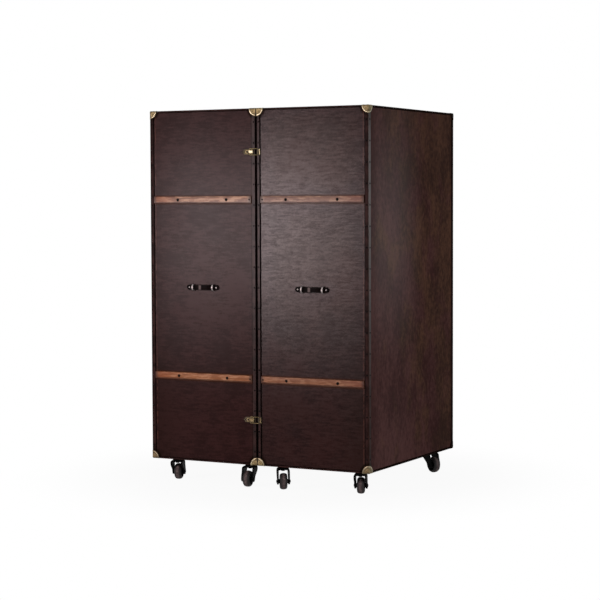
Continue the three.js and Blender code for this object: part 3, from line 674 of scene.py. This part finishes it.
# Distances from the slat's lower long edge, with the tone there, which paints shade along that edge
lower_edge_shade = [(0.0082, 0), (0.0060, 0.5), (0.0040, 0.9)]
slat_stations = 24
for side, sign in halves.items():
    for level in ("upper", "lower"):
        name = f"{side}_{level}_slat"
        low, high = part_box(name)
        thickness = high.y - low.y
        z = (low.z + high.z) / 2
        half_height = (high.z - low.z) / 2
        # The tones paint shade along the long edges: on the top face and its rounding, and more on the
        # underside and the lower part of the front.
        section = [(half_height, 0, 1), (half_height, thickness - edge_round, 0.8)]
        bend = arc(edge_round, 0, 90, 5, (half_height - edge_round, thickness - edge_round))
        section += [(a, b, 0.6 - 0.1 * k) for k, (a, b) in enumerate(bend) if 0 < k < 5]
        section.append((half_height - edge_round, thickness, 0.1))
        under = [(-a, b, min(1, t + 0.6)) for a, b, t in reversed(section)]
        section += [(inside - half_height, thickness, t) for inside, t in lower_edge_shade]
        section += under
        slat = Form()
        rings = []
        for i in range(slat_stations + 1):
            x = low.x + (high.x - low.x) * i / slat_stations
            wear = 0.0002 * sin(31 * x + 5 * z)
            rings.append([(x, high.y - b, z + a + copysign(wear, a)) for a, b, _ in section])
        slat.loft(rings, lambda i, k: 1 if i in (0, slat_stations) else section[k][2])
        slat.piece(f"{name}_wood", f"{side}_half", batten, [name])
        screws = Form()
        for share in screw_places:
            x = low.x + (high.x - low.x) * share
            screw(screws, facing((x, low.y, z), (0, -1, 0)), slat_screw, 0.5 + 2 * share)
        near_end = low.x if sign > 0 else high.x
        spot = facing((near_end + sign * end_nail_inset, low.y, z), (0, -1, 0))
        screws.turned(end_nail, spot, 14)
        screws.piece(f"{name}_screws", f"{side}_half", iron)


# Strap handles
# A thick bridle-leather strap bows off the trunk between two bright metal loops. Its flat ends lie
# in the loops and carry a stud each, and two lines of stitching run along it.

bridle = Finish("strap_leather")
rub = bridle.noise(70, 4)
grain = bridle.pebbles(900) * 0.5 + bridle.noise(320, 4) * 0.5
bridle.surface({
    "Base Color": bridle.layered(
        paint(6, 3, 3),
        (rub.ramp(0.4, 0.68), paint(16, 9, 8)),
        # Tone below 0 is paler: the thread, and on the strap a painted highlight.
        (bridle.bare(), paint(104, 92, 90)),
        (bridle.dark(), paint(7, 5, 5))),
    "Roughness": 0.5 + rub * 0.2,
    "Specular IOR Level": 0.02,
    "Coat Weight": 0.004,
    "Coat Roughness": 0.3,
    "Normal": bridle.bump(grain, 0.0001),
})

steel = Finish("pale_steel")
rub = steel.noise(140, 4)
steel.surface({
    "Base Color": steel.mix(rub.ramp(0.35, 0.7), paint(130, 121, 119), paint(172, 163, 161)),
    "Metallic": 1,
    "Roughness": 0.32 + rub * 0.2,
    "Normal": steel.bump(rub, 0.00005),
})

strap_gap = 0.0003
strap_bow = 0.0095
strap_thickness = 0.0043
strap_stations = 34
grip_half = 0.023
ramp_length = 0.018
# Reach of the pale patch left of the strap's middle, which paints the sheen on it
sheen_reach = 0.008
stitches_each_way = 13
stitch_pitch = 0.005
stitch_half = 0.0017
stitch_inset = 0.0028
thread = circle(0.00045, 6)
stud_places = (-0.0625, 0.0635)
stud = dome(0.0033, 0.0022)
band_width = 0.006
band_thickness = 0.0022
band_section = [(x * band_width / 2, y * band_thickness / 2) for x, y in circle(1, 16)]
# How far the loops have slipped along the strap
left_slip = 0.0062
right_slip = 0.001


def strap_rise(place):
    share = min(max((abs(place) - grip_half) / ramp_length, 0), 1)
    return strap_gap + strap_bow * (1 + cos(pi * share)) / 2


for side, sign in halves.items():
    low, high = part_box(f"{side}_handle_strap")
    reach = (high.x - low.x) / 2
    half_width = (high.z - low.z) / 2
    end_round = half_width - strap_gap
    center = middle(f"{side}_handle_strap")
    on_leather = at((center.x, cover_front, center.z))
    strap = Form(on_leather)
    places = [reach * sin(pi / 2 * k / strap_stations)
              for k in range(-strap_stations, strap_stations + 1)]
    rings = []
    for place in places:
        beyond = max(abs(place) - (reach - end_round), 0)
        w = strap_gap + sqrt(max(end_round ** 2 - beyond ** 2, 0))
        soft = min(1, w / 0.004)
        d = strap_thickness
        edge = [(w - 0.0018 * soft, d), (w - 0.0005 * soft, d - 0.0004), (w, d - 0.0012), (w, 0.0009)]
        across = [(-z, deep) for z, deep in reversed(edge)] + [(0, d + 0.0002)] + edge
        across += [(w - 0.0009 * soft, 0), (-w + 0.0009 * soft, 0)]
        rings.append([(place, -strap_rise(place) - deep, z) for z, deep in across])
    strap_tones = [1, 1, 0.3, 0, 0, 0, 0.3, 1, 1, 1, 1]
    # Painted highlight: a pale patch on the strap's top, left of its middle.
    painted_sheen = [max(0, 1 - ((place + sheen_reach) / sheen_reach) ** 2) for place in places]
    strap.loft(rings, lambda i, k: strap_tones[k] - (0.75 * painted_sheen[i] if 3 <= k <= 5 else 0))
    strap.piece(f"{side}_grip_strap", f"{side}_handle", bridle, [f"{side}_handle_strap"])
    seam = Form(on_leather)
    for k in range(-stitches_each_way, stitches_each_way + 1):
        for z in (stitch_inset - half_width, half_width - stitch_inset):
            ends = (k * stitch_pitch - stitch_half, k * stitch_pitch + stitch_half)
            path = [(x, -strap_rise(x) - strap_thickness - 0.0001, z) for x in ends]
            seam.sweep(path, thread, (0, 0, 1), lambda i, k: -0.3)
    seam.piece(f"{side}_grip_stitches", f"{side}_handle", bridle)
    studs = Form(on_leather)
    for x in stud_places:
        studs.turned(stud, facing((x, -strap_gap - strap_thickness, 0), (0, -1, 0)), 18)
    studs.piece(f"{side}_grip_studs", f"{side}_handle", steel)
    for place in ("outer", "inner"):
        name = f"{side}_handle_{place}_loop"
        low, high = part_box(name)
        arch_radius = (high.z - low.z) / 2 - band_thickness / 2
        spring = (high.y - low.y) - (high.z - low.z) / 2
        slip = left_slip if (place == "inner") == (side == "right") else right_slip
        arch = [(0, -spring - y, -x) for x, y in arc(arch_radius, 0, 180, 20)]
        path = [(0, 0, -arch_radius), *arch, (0, 0, arch_radius)]
        center = middle(name)
        loop = Form(at((center.x + slip, high.y, center.z)))
        loop.sweep(path, band_section, (1, 0, 0))
        loop.piece(f"{name}_metal", f"{side}_half", steel, [name])


# Draw latches
# Cast spear plates carry a hollow lever on a pin. The lever pulls a wire bail over the ridge of a
# catch on the other half. The plates are screwed and riveted on.

plate_lift = 0.0001
plate_thickness = 0.0015
latch_axis = 0.006
pin_place = -0.015
bail_place = -0.027
bar_place = 0.013
finger_ring = [(0, 0.0044), (0.0066, 0.0044), (0.0074, 0.0052), (0.0074, 0.0078), (0.0066, 0.0086),
               (0.0050, 0.0086), (0.0042, 0.0076), (0.0024, 0.0074), (0.0024, 0.0060), (0, 0.0060)]
ring_tones = [1, 1, 0.9, 0.5, 0.05, 0.05, 0.6, 0.9, 1, 1]
# How bare and pale each latch is rubbed. The upper one is at hand height, and its paler brass also
# paints its highlight.
bare_and_highlight = {"upper": 0.5, "lower": 0.1}
bail_half = 0.0125
bail_hook = 0.0049
bail_corner = 0.0028
wire_radius = 0.0012
lug_half = 0.003
lug_thickness = 0.002
lug_place = 0.0088
pin_end = dome(0.0019, 0.0008)
latch_pin = [(0.0015, -0.0105), (0.0015, 0.0105)]
rivet = dome(0.0016, 0.0007)
rivet_places = ((-0.0535, 0), (-0.0105, 0.0065), (-0.0105, -0.0065))
catch_rivet = dome(0.0014, 0.0008)
catch_rivet_place = (0.0136, 0.0108)
lever_half = 0.0081
lever_height = 0.0086
lever_wall = 0.0015
heel_reach = 0.0012
tip_reach = -0.0108
lever_stations = [0, 0.02, 0.06, 0.12, 0.4, 0.7, 0.86, 0.92, 0.97, 1]
# Place across the seam and height, and then place along the seam and how far the end is sunk
catch_ridge = [(0.0076, 0.0014), (0.0080, 0.0036), (0.0086, 0.0043), (0.0105, 0.0044),
               (0.0110, 0.0040), (0.0110, 0.0014)]
ridge_end = [(0.009, 0.0012), (0.0085, 0.0004), (0.0075, 0)]
catch_lip = [(0.0158, 0.0010), (0.0160, 0.0030), (0.0166, 0.0036), (0.0188, 0.0036),
             (0.0194, 0.0030), (0.0196, 0.0010)]
lip_end = [(0.0118, 0.0008), (0.011, 0)]


def crossbar(form, profile, end, tones):
    """A bar along the seam. Both ends are sunk alike."""
    places = [(-b, sink) for b, sink in end] + end[::-1]
    rings = [[(a, b, max(h - sink, 0.0012)) for a, h in profile] for b, sink in places]
    form.loft(rings, tones)


def curve(start, handle, end, steps=7):
    """Points on a quadratic curve, without its first one."""
    points = []
    for k in range(1, steps + 1):
        t = k / steps
        points.append(tuple((1 - t) ** 2 * a + 2 * t * (1 - t) * b + t * t * c
                            for a, b, c in zip(start, handle, end)))
    return points


def rounded(points, radius, steps=5):
    """A path with its corners rounded."""
    path = [Vector(points[0])]
    for before, here, after in zip(points, points[1:], points[2:]):
        here = Vector(here)
        start = here + (Vector(before) - here).normalized() * radius
        end = here + (Vector(after) - here).normalized() * radius
        path += [start, *(Vector(point) for point in curve(start, here, end, steps))]
    return path + [Vector(points[-1])]


def both_sides(half):
    """Half an outline or profile, and its mirror image on the other side of 0."""
    return half + [(x, -y) for x, y in reversed(half) if y]


def rectangle(x0, x1, y0, y1, corner):
    """An outline with rounded corners."""
    x0, x1, y0, y1 = x0 + corner, x1 - corner, y0 + corner, y1 - corner
    outline = []
    for quarter, place in enumerate([(x1, y1), (x0, y1), (x0, y0), (x1, y0)]):
        outline += arc(corner, 90 * quarter, 90 * quarter + 90, 4, place)
    return outline


def spear(near, far, half):
    shoulder = far + (near - far) * 0.4
    neck = far + (shoulder - far) * 0.55
    return both_sides([(near, half), (shoulder, half),
                       *curve((shoulder, half), (neck, half), (neck, half / 2)),
                       *curve((neck, half / 2), (neck, 0), (far, 0))])


for level in ("upper", "lower"):
    low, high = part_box(f"{level}_latch_base")
    z = (low.z + high.z) / 2
    half = (high.z - low.z) / 2
    place = upright(0, front, z, -1)
    face = plate_lift + plate_thickness
    base = Form(place)
    base.slab(spear(high.x, low.x, half), plate_lift, face, 0.0005, tones=[1, 0.9, 0.7, 0.62])
    # Painted shade: a near-black packing fills the gap under the plate's overhanging edge.
    packing = [(min(x, -rim - strip_width - 0.0012), y)
               for x, y in spear(high.x, low.x + 0.0004, half - 0.0003)]
    base.slab(packing, -strip_thickness, 0.0004, 0.0001, tones=[1, 1, 1, 1])
    lug = [(pin_place - lug_half, 0.001), (pin_place + lug_half, 0.001)]
    lug += arc(lug_half, 0, 180, 10, (pin_place, latch_axis))
    for side in (-1, 1):
        stand = upright(0, side * lug_place, 0, side)
        base.slab(lug, 0, lug_thickness, 0.0004, stand)
        base.turned(pin_end, stand @ at((pin_place, latch_axis, lug_thickness)), 14)
    base.turned(latch_pin, at((pin_place, 0, latch_axis)) @ turn(pi / 2, "X"), 14)
    base.piece(f"{level}_latch_plate", "left_half", brass, [f"{level}_latch_base"])
    rivets = Form(place)
    for x, y in rivet_places:
        rivets.turned(rivet, at((x, y, face)), 12)
    rivets.piece(f"{level}_latch_screws", "left_half", iron)

    low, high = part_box(f"{level}_latch_lever")
    heel, tip = high.x + heel_reach, low.x - tip_reach
    lever = Form(place)
    rings = []
    for share in lever_stations:
        a = heel + (tip - heel) * share
        w = lever_half - 0.0006 * share
        round_heel = 0.0022 * max(0, 1 - share / 0.06) ** 2
        over = lever_height - round_heel
        under = 0.0034 + round_heel
        ring = [(a, -w, under), (a, -w, over - 0.0012)]
        for k in range(25):
            groove_rise = 0.0004 * abs(sin(3 * pi * k / 24))
            ring.append((a, (k / 12 - 1) * (w - 0.0006), over - 0.0004 + groove_rise))
        ring += [(a, w, over - 0.0012), (a, w, under)]
        inside, roof = w - lever_wall, over - 0.0021
        ring += [(a, inside, under), (a, inside, roof), (a, -inside, roof), (a, -inside, under)]
        rings.append(ring)
    bare = bare_and_highlight[level]
    # The ribs are rubbed bare, on the upper latch paler as a painted highlight, and the grooves between
    # them are darker
    lever.loft(rings, lambda i, k: (0.5 - bare if (k - 2) % 8 == 0 else -bare)
               if 7 <= k <= 21 else 0.4)
    lever.turned(finger_ring, at((tip - 0.0078, 0, 0)), 32, ring_tones)
    lever.piece(f"{level}_latch_handle", f"{level}_lever", brass, [f"{level}_latch_lever"])

    bail = Form(place)
    points = both_sides([(bail_place, bail_half - bail_hook), (bail_place, bail_half),
                         (bar_place, bail_half)])
    path = rounded([(x, y, latch_axis) for x, y in points], bail_corner)
    bail.sweep(path, circle(wire_radius, 12), (0, 0, 1), lambda i, k: 0.1)
    bail.piece(f"{level}_latch_wire", f"{level}_bail", brass, [f"{level}_latch_bail"])

    low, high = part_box(f"{level}_latch_catch")
    half = (high.z - low.z) / 2
    catch = Form(place)
    catch.slab(rectangle(low.x, high.x, -half, half, 0.0025), plate_lift, face, 0.0005,
               tones=[1, 1, 0.9, 0.85])
    crossbar(catch, catch_ridge, ridge_end, lambda i, k: 0.75)
    # The catch's lip is paler on the upper latch: painted highlight.
    crossbar(catch, catch_lip, lip_end, lambda i, k: 0.2 - bare if k in (2, 3) else 0.7)
    x, y = catch_rivet_place
    for side in (-1, 1):
        catch.turned(catch_rivet, at((x, side * y, face)), 14, [0.6] * 5)
    catch.piece(f"{level}_latch_strike", "right_half", brass, [f"{level}_latch_catch"])


# Continuous hinge
# Two long brass leaves are screwed to the back edge of each half. Their rolled knuckles alternate
# along one pin with flat heads.

low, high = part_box("hinge_right_leaf")
pin_low, pin_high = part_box("hinge_pin")
hinge_axis = middle("hinge_pin").y
knuckle_count = 16
knuckle_radius = high.y - hinge_axis
knuckle_gap = 0.0003
knuckle_bore = 0.0021
leaf_thickness = 0.0015
leaf_screw = 0.003
leaf_screw_place = 0.0122
leaf_near = knuckle_radius + 0.0003
pin_head = 0.003
hinge_low = pin_low.z + pin_head
hinge_high = pin_high.z - pin_head
knuckle_pitch = (hinge_high - hinge_low) / knuckle_count
knuckle_half = knuckle_pitch / 2 - knuckle_gap
knuckle = both_sides([(knuckle_bore, -knuckle_half), (knuckle_radius - 0.0005, -knuckle_half),
                      (knuckle_radius, 0.0005 - knuckle_half)])
for first, (side, sign) in enumerate(halves.items()):
    leaf = Form(Matrix.Diagonal((sign, 1, 1, 1)))
    sheet = rectangle(leaf_near, high.x, hinge_low, hinge_high, 0.001)
    leaf.slab(sheet, 0, leaf_thickness, 0.0004, upright(0, low.y, 0, 1))
    for i in range(first, knuckle_count, 2):
        z = hinge_low + (i + 0.5) * knuckle_pitch
        leaf.turned(knuckle, at((0, hinge_axis, z)), 24, [1, 0.6, 0, 0, 0.6, 1])
        tab = rectangle(0.0004, leaf_near + 0.001, z - knuckle_half, z + knuckle_half, 0.0004)
        leaf.slab(tab, 0, leaf_thickness, 0.0002, upright(0, low.y, 0, 1))
    leaf.piece(f"hinge_{side}_plate", f"{side}_half", brass, [f"hinge_{side}_leaf"])
    screws = Form(Matrix.Diagonal((sign, 1, 1, 1)))
    for i in range(knuckle_count):
        spot = (leaf_screw_place, low.y + leaf_thickness, hinge_low + (i + 0.5) * knuckle_pitch)
        screw(screws, facing(spot, (0, 1, 0)), leaf_screw, i * 0.9)
    screws.piece(f"hinge_{side}_screws", f"{side}_half", iron)
pin = Form(at((0, hinge_axis, middle("hinge_pin").z)))
end = (pin_low.z - pin_high.z) / 2
pin.turned(both_sides([(0, end), (0.003, end), (0.0038, end + 0.0008), (0.0038, end + pin_head),
                       (0.002, end + pin_head)]), sides=20)
pin.piece("hinge_rod", "left_half", brass, ["hinge_pin"])


# Casters
# Eight swivel casters: a bolted plate, a ball race, a pressed fork and a rubber-tyred wheel on an
# axle whose nuts stand proud of the fork. The iron parts are painted black.

rubber = Finish("wheel_rubber")
rub = rubber.noise(120, 4)
rubber.surface({
    "Base Color": rubber.layered(
        paint(58, 48, 48),
        (rub.ramp(0.38, 0.66), paint(96, 84, 82)),
        # Tone 1 paints shade on the tyres' sides.
        (rubber.dark(), paint(22, 18, 18))),
    "Roughness": 0.55 + rub * 0.25,
    "Specular IOR Level": 0.2,
    "Normal": rubber.bump(rub, 0.0002),
})

wheel_radius = 0.033
fork_half = 0.026
fork_leg = 0.007
fork_arch = 0.076
fork_top = 0.084
shoulder_radius = 0.010
boss_radius = 0.013
fork_rear = -0.020
fork_ahead = 0.030
race_bottom = 0.0868
axle_radius = 0.0038
bolt_place = (0.0315, 0.0235)
mount_thickness = 0.0025
tyre = both_sides([(0.021, -0.0080), (0.0222, -0.0128), (0.0245, -0.0148), (0.0272, -0.0143),
                   (0.0300, -0.0120), (0.0318, -0.0086), (0.0327, -0.0048), (wheel_radius, 0)])
# Painted shade: the tyre's sides are marked dark and only its tread is left light.
tyre_shade = [1, 1, 1, 1, 0.95, 0.85, 0.45]
core = both_sides([(0.004, -0.0184), (0.0082, -0.0184), (0.009, -0.0178), (0.0092, -0.0095),
                   (0.0105, -0.0080), (0.0195, -0.0080), (0.0205, -0.0090), (0.0213, -0.0090)])
race = [(0.006, 0), (0.0155, 0), (0.017, 0.0012), (0.017, 0.0035), (0.0156, 0.0045),
        (0.0156, 0.0055), (0.0185, 0.0085), (0.0200, 0.0100), (0.006, 0.0100)]
dish = [(0, -0.0005), (0.0195, -0.0005), (0.020, 0.0008), (0.0185, 0.0020), (0.0165, 0.0025),
        (0, 0.0025)]
bolt_washer = [(0.0062, -0.0002), (0.0062, 0.0007), (0.0056, 0.0010), (0, 0.0010)]
axle_washer = [(0.0082, -0.0003), (0.0082, 0.0004), (0.0078, 0.0006), (0, 0.0006)]
axle_end = [(0.0032, 0), (0.0032, 0.0028), (0.0026, 0.0032), (0, 0.0032)]
bolt_head = circle(0.0048, 6)
axle_nut = circle(0.0064, 6)
kingpin_head = [(0.0068, -0.0045), (0.0075, -0.0035), (0.0075, 0.001)]


def fork_rings(trail):
    """Sections of the fork, from the foot of one leg over the arch to the foot of the other."""
    leg = []
    for x, y in arc(boss_radius, 90, 0, 6):
        half = max(x, 0.0006)
        leg.append((trail - half, trail + half, wheel_radius - y))
    for k in range(1, 6):
        share = k / 5
        ease = share * share * (3 - 2 * share)
        rear = (trail - boss_radius) * (1 - ease) + fork_rear * ease
        ahead = (trail + boss_radius) * (1 - ease) + fork_ahead * ease
        leg.append((rear, ahead, wheel_radius + (fork_arch - 0.006 - wheel_radius) * share))
    rings = [(rear, ahead, (-fork_half, z), (fork_leg - fork_half, z)) for rear, ahead, z in leg]
    steps = 6
    inner = shoulder_radius - fork_leg
    bend_x = shoulder_radius - fork_half
    shoulder = arc(shoulder_radius, 180, 90, steps, (bend_x, fork_top - shoulder_radius))
    crotch = arc(inner, 180, 90, steps, (bend_x, fork_arch - inner))
    for k in range(1, steps + 1):
        rings.append((fork_rear, fork_ahead - 0.010 * k / steps, shoulder[k], crotch[k]))
    soft = 0.0009
    sections = []
    for rear, ahead, over, under in rings:
        over, under = Vector((0, *over)), Vector((0, *under))
        through = (under - over).normalized() * soft
        a, b = Vector((rear, 0, 0)), Vector((ahead, 0, 0))
        along = Vector((min(soft, (ahead - rear) / 3), 0, 0))
        sections.append([a + over + along, b + over - along, b + over + through, b + under - through,
                         b + under - along, a + under + along, a + under - through, a + over + through])
    return sections + [[Vector((x, -y, z)) for x, y, z in points] for points in reversed(sections)]


places = ("front_inner", "front_outer", "rear_inner", "rear_outer")
for corner in [f"{side}_{place}" for side in halves for place in places]:
    name = f"{corner}_caster"
    half = corner.split("_")[0] + "_half"
    low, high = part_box(f"{name}_plate")
    center = middle(f"{name}_plate")
    axle = middle(f"{name}_wheel")
    trail = hypot(axle.x - center.x, axle.y - center.y)
    swivel = atan2(axle.y - center.y, axle.x - center.x)
    here = at((center.x, center.y, 0))
    turned = here @ turn(swivel)

    plate = Form(here)
    x, y, _ = (high - low) / 2
    downwards = at((0, 0, high.z)) @ turn(pi, "X")
    plate.slab(rectangle(-x, x, -y, y, 0.007), 0, mount_thickness, 0.0006, downwards)
    plate.turned(race, at((0, 0, race_bottom)), 36)
    for x in (-1, 1):
        for y in (-1, 1):
            bolt = downwards @ at((x * bolt_place[0], y * bolt_place[1], mount_thickness))
            plate.turned(bolt_washer, bolt, 20)
            plate.slab(bolt_head, 0, 0.0040, 0.0006, bolt @ turn(0.4 + x))
    plate.piece(f"{name}_mount", half, iron, [f"{name}_plate"])

    fork = Form(turned)
    fork.loft(fork_rings(trail))
    fork.turned(dish, at((0, 0, fork_top)), 36)
    fork.turned([(0.005, fork_top), (0.005, high.z - 0.0006)], sides=20)
    fork.turned(kingpin_head, at((0, 0, fork_arch)), 24)
    for y in (-1, 1):
        side_on = upright(trail, y * fork_half, wheel_radius, y)
        fork.turned(axle_washer, side_on, 24)
        fork.slab(axle_nut, 0.0004, 0.0024, 0.0006, side_on @ turn(0.3))
        fork.turned(axle_end, side_on, 18)
    on_axle = at((trail, 0, wheel_radius)) @ turn(pi / 2, "X")
    fork.turned([(axle_radius, -fork_half), (axle_radius, fork_half)], on_axle, 18)
    fork.piece(f"{name}_yoke", f"{corner}_fork", iron, [f"{name}_fork"])

    band = Form(turned @ on_axle)
    band.turned(tyre, sides=56, tones=tyre_shade + [0] + tyre_shade[::-1])
    band.piece(f"{name}_tyre", f"{corner}_wheel", rubber, [f"{name}_wheel"])
    hub = Form(turned @ on_axle)
    hub.turned(core, sides=40)
    hub.piece(f"{name}_hub", f"{corner}_wheel", iron)


# Shells
# Birch plywood, its face veneer planed smooth and left bare inside.

plywood = Finish("plywood")
line = plywood.noise(1, 4, (90, 90, 4))
board = plywood.noise(4, 3)
plywood.surface({
    "Base Color": plywood.mix(line.ramp(0.35, 0.65) * 0.6 + board * 0.3,
                              paint(176, 140, 98), paint(200, 168, 124)),
    "Roughness": 0.55 + line * 0.15,
    "Specular IOR Level": 0.3,
    "Normal": plywood.bump(line, 0.0002),
})
for side in halves:
    dress(f"{side}_shell", plywood)


# Hanging rail
# A steel tube from front to back, between two turned sockets screwed to the plywood.

low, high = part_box("hanging_rail")
rail_center = middle("hanging_rail")
rail_radius = (high.z - low.z) / 2
rail = Form(at((rail_center.x, 0, rail_center.z)) @ turn(-pi / 2, "X"))
rail.turned([(0, low.y), (rail_radius, low.y), (rail_radius, high.y), (0, high.y)], sides=40)
rail.piece("rail_tube", "left_half", steel, ["hanging_rail"])
socket = [(0, 0), (0.024, 0), (0.024, 0.002), (0.0232, 0.003), (0.0175, 0.0034), (0.016, 0.005),
          (0.016, 0.0134), (0.0154, 0.014), (0.0134, 0.014), (0.0129, 0.0134), (0.0129, 0.003),
          (0, 0.003)]
for place in ("front", "rear"):
    name = f"rail_{place}_socket"
    low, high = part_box(name)
    wall_y, outward = (low.y, 1) if place == "front" else (high.y, -1)
    cup = Form(facing((rail_center.x, wall_y, rail_center.z), (0, outward, 0)))
    cup.turned(socket, sides=40)
    for k in range(3):
        around = turn(2 * pi * k / 3)
        screw(cup, around @ at((0, 0.0198, 0.003)) @ around.inverted(), 0.002, k)
    cup.piece(f"{name}_cup", "left_half", steel, [name])


# Drawers
# Four solid drawers in a case of boards, their edges eased by hand. Each has a finger notch.

drawer_wood = Finish("drawer_wood")
line = drawer_wood.noise(1, 5, (16, 5, 130))
board = drawer_wood.noise(1, 3, (6, 2, 14))
drawer_wood.surface({
    "Base Color": drawer_wood.layered(
        paint(92, 57, 38),
        (line.ramp(0.36, 0.64), paint(130, 88, 60)),
        (board.ramp(0.45, 0.7) * 0.5, paint(112, 70, 46))),
    "Roughness": 0.42 + line * 0.2,
    "Specular IOR Level": 0.3,
    "Normal": drawer_wood.bump(line, 0.0002),
})


def softened(name, node, body, width):
    """A copy of a CAD node with its edges rounded."""
    form = Form()
    mesh = form.mesh
    mesh.from_mesh(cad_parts[node].data)
    bmesh.ops.remove_doubles(mesh, verts=mesh.verts, dist=1e-6)
    bmesh.ops.dissolve_limit(mesh, angle_limit=0.02, verts=mesh.verts, edges=mesh.edges)
    sharp = [edge for edge in mesh.edges if edge.calc_face_angle(0) > 0.6]
    bmesh.ops.bevel(mesh, geom=sharp, offset=width, segments=2, profile=0.5, affect="EDGES")
    form.piece(name, body, drawer_wood, [node])


softened("drawer_case_boards", "drawer_case", "right_half", 0.0008)
for number in range(1, 5):
    body = f"drawer_{number}"
    softened(f"{body}_wood", body, body, 0.0012)


# Floor and light
# White seamless floor. A softbox at the front left makes the sheen on the front, a wide pale fill
# on the right lights the side, and the room gives the rest.

backdrop = Finish("floor")
paper = backdrop.noise(3, 2)
backdrop.surface({
    "Base Color": backdrop.mix(paper, paint(205, 205, 205), paint(208, 208, 208)),
    "Roughness": 0.9,
    "Specular IOR Level": 0,
})


def in_view(finish):
    """1 for rays from the camera, from shiny metal and through glass, and 0 for the others."""
    seen = finish.node("LightPath", output="Is Camera Ray")
    for ray in ("Is Glossy Ray", "Is Transmission Ray"):
        seen = seen.math("MAXIMUM", finish.node("LightPath", output=ray))
    return seen


away = backdrop.node("VectorMath", {0: backdrop.place}, 1, operation="LENGTH")
tree = backdrop.tree
glow = backdrop.node("Emission", {"Color": (1, 1, 1, 1)})
share = in_view(backdrop) * (0.94 + away.ramp(0.5, 1.3) * 0.06)
blend = backdrop.node("MixShader", {0: share, 2: glow})
tree.links.new(tree.nodes["Principled BSDF"].outputs[0], blend.socket.node.inputs[1])
tree.links.new(blend.socket, tree.nodes["Material Output"].inputs["Surface"])

reach = 40
floor_data = bpy.data.meshes.new("floor")
floor_data.from_pydata([(-reach, -reach, 0), (reach, -reach, 0), (reach, reach, 0), (-reach, reach, 0)],
                       [], [(0, 1, 2, 3)])
floor_data.materials.append(backdrop.material)
placed("floor", floor_data)

world = bpy.data.worlds.new("room")
bpy.context.scene.world = world
room = Finish("room", world)
room_color = room.mix(in_view(room), (0.17, 0.17, 0.17, 1), (1, 1, 1, 1))
room.feed(room.tree.nodes["Background"], {"Color": room_color})


def softbox(name, place, aim, width, height, radiance, tint=(1, 1, 1)):
    lamp = bpy.data.lights.new(name, "AREA")
    lamp.shape = "RECTANGLE"
    lamp.size = width
    lamp.size_y = height
    lamp.energy = pi * width * height * radiance
    lamp.color = tint
    box = placed(name, lamp)
    ahead = Vector(aim) - Vector(place)
    box.matrix_world = at(place) @ ahead.to_track_quat("-Z", "Y").to_matrix().to_4x4()
    box.visible_camera = False


softbox("front_left_softbox", (-1.96, -3.89, 1.02), (0, front, 1.08), 0.9, 0.9, 45, (1, 0.84, 0.85))
softbox("right_fill", (5, -2.8, 1.6), (outer, 0, 0.8), 2, 2, 12)

camera_data = bpy.data.cameras.new("camera")
camera_data.sensor_width = 36
camera_data.lens = 107.36
camera = placed("camera", camera_data)
heading, tilt, roll = map(radians, (27.97, 86.84, -0.205))
aim = turn(heading) @ turn(tilt, "X") @ turn(roll)
camera.matrix_world = at((3.502, -6.6361, 1.157)) @ aim
bpy.context.scene.camera = camera
bpy.context.scene.view_settings.view_transform = "Standard"
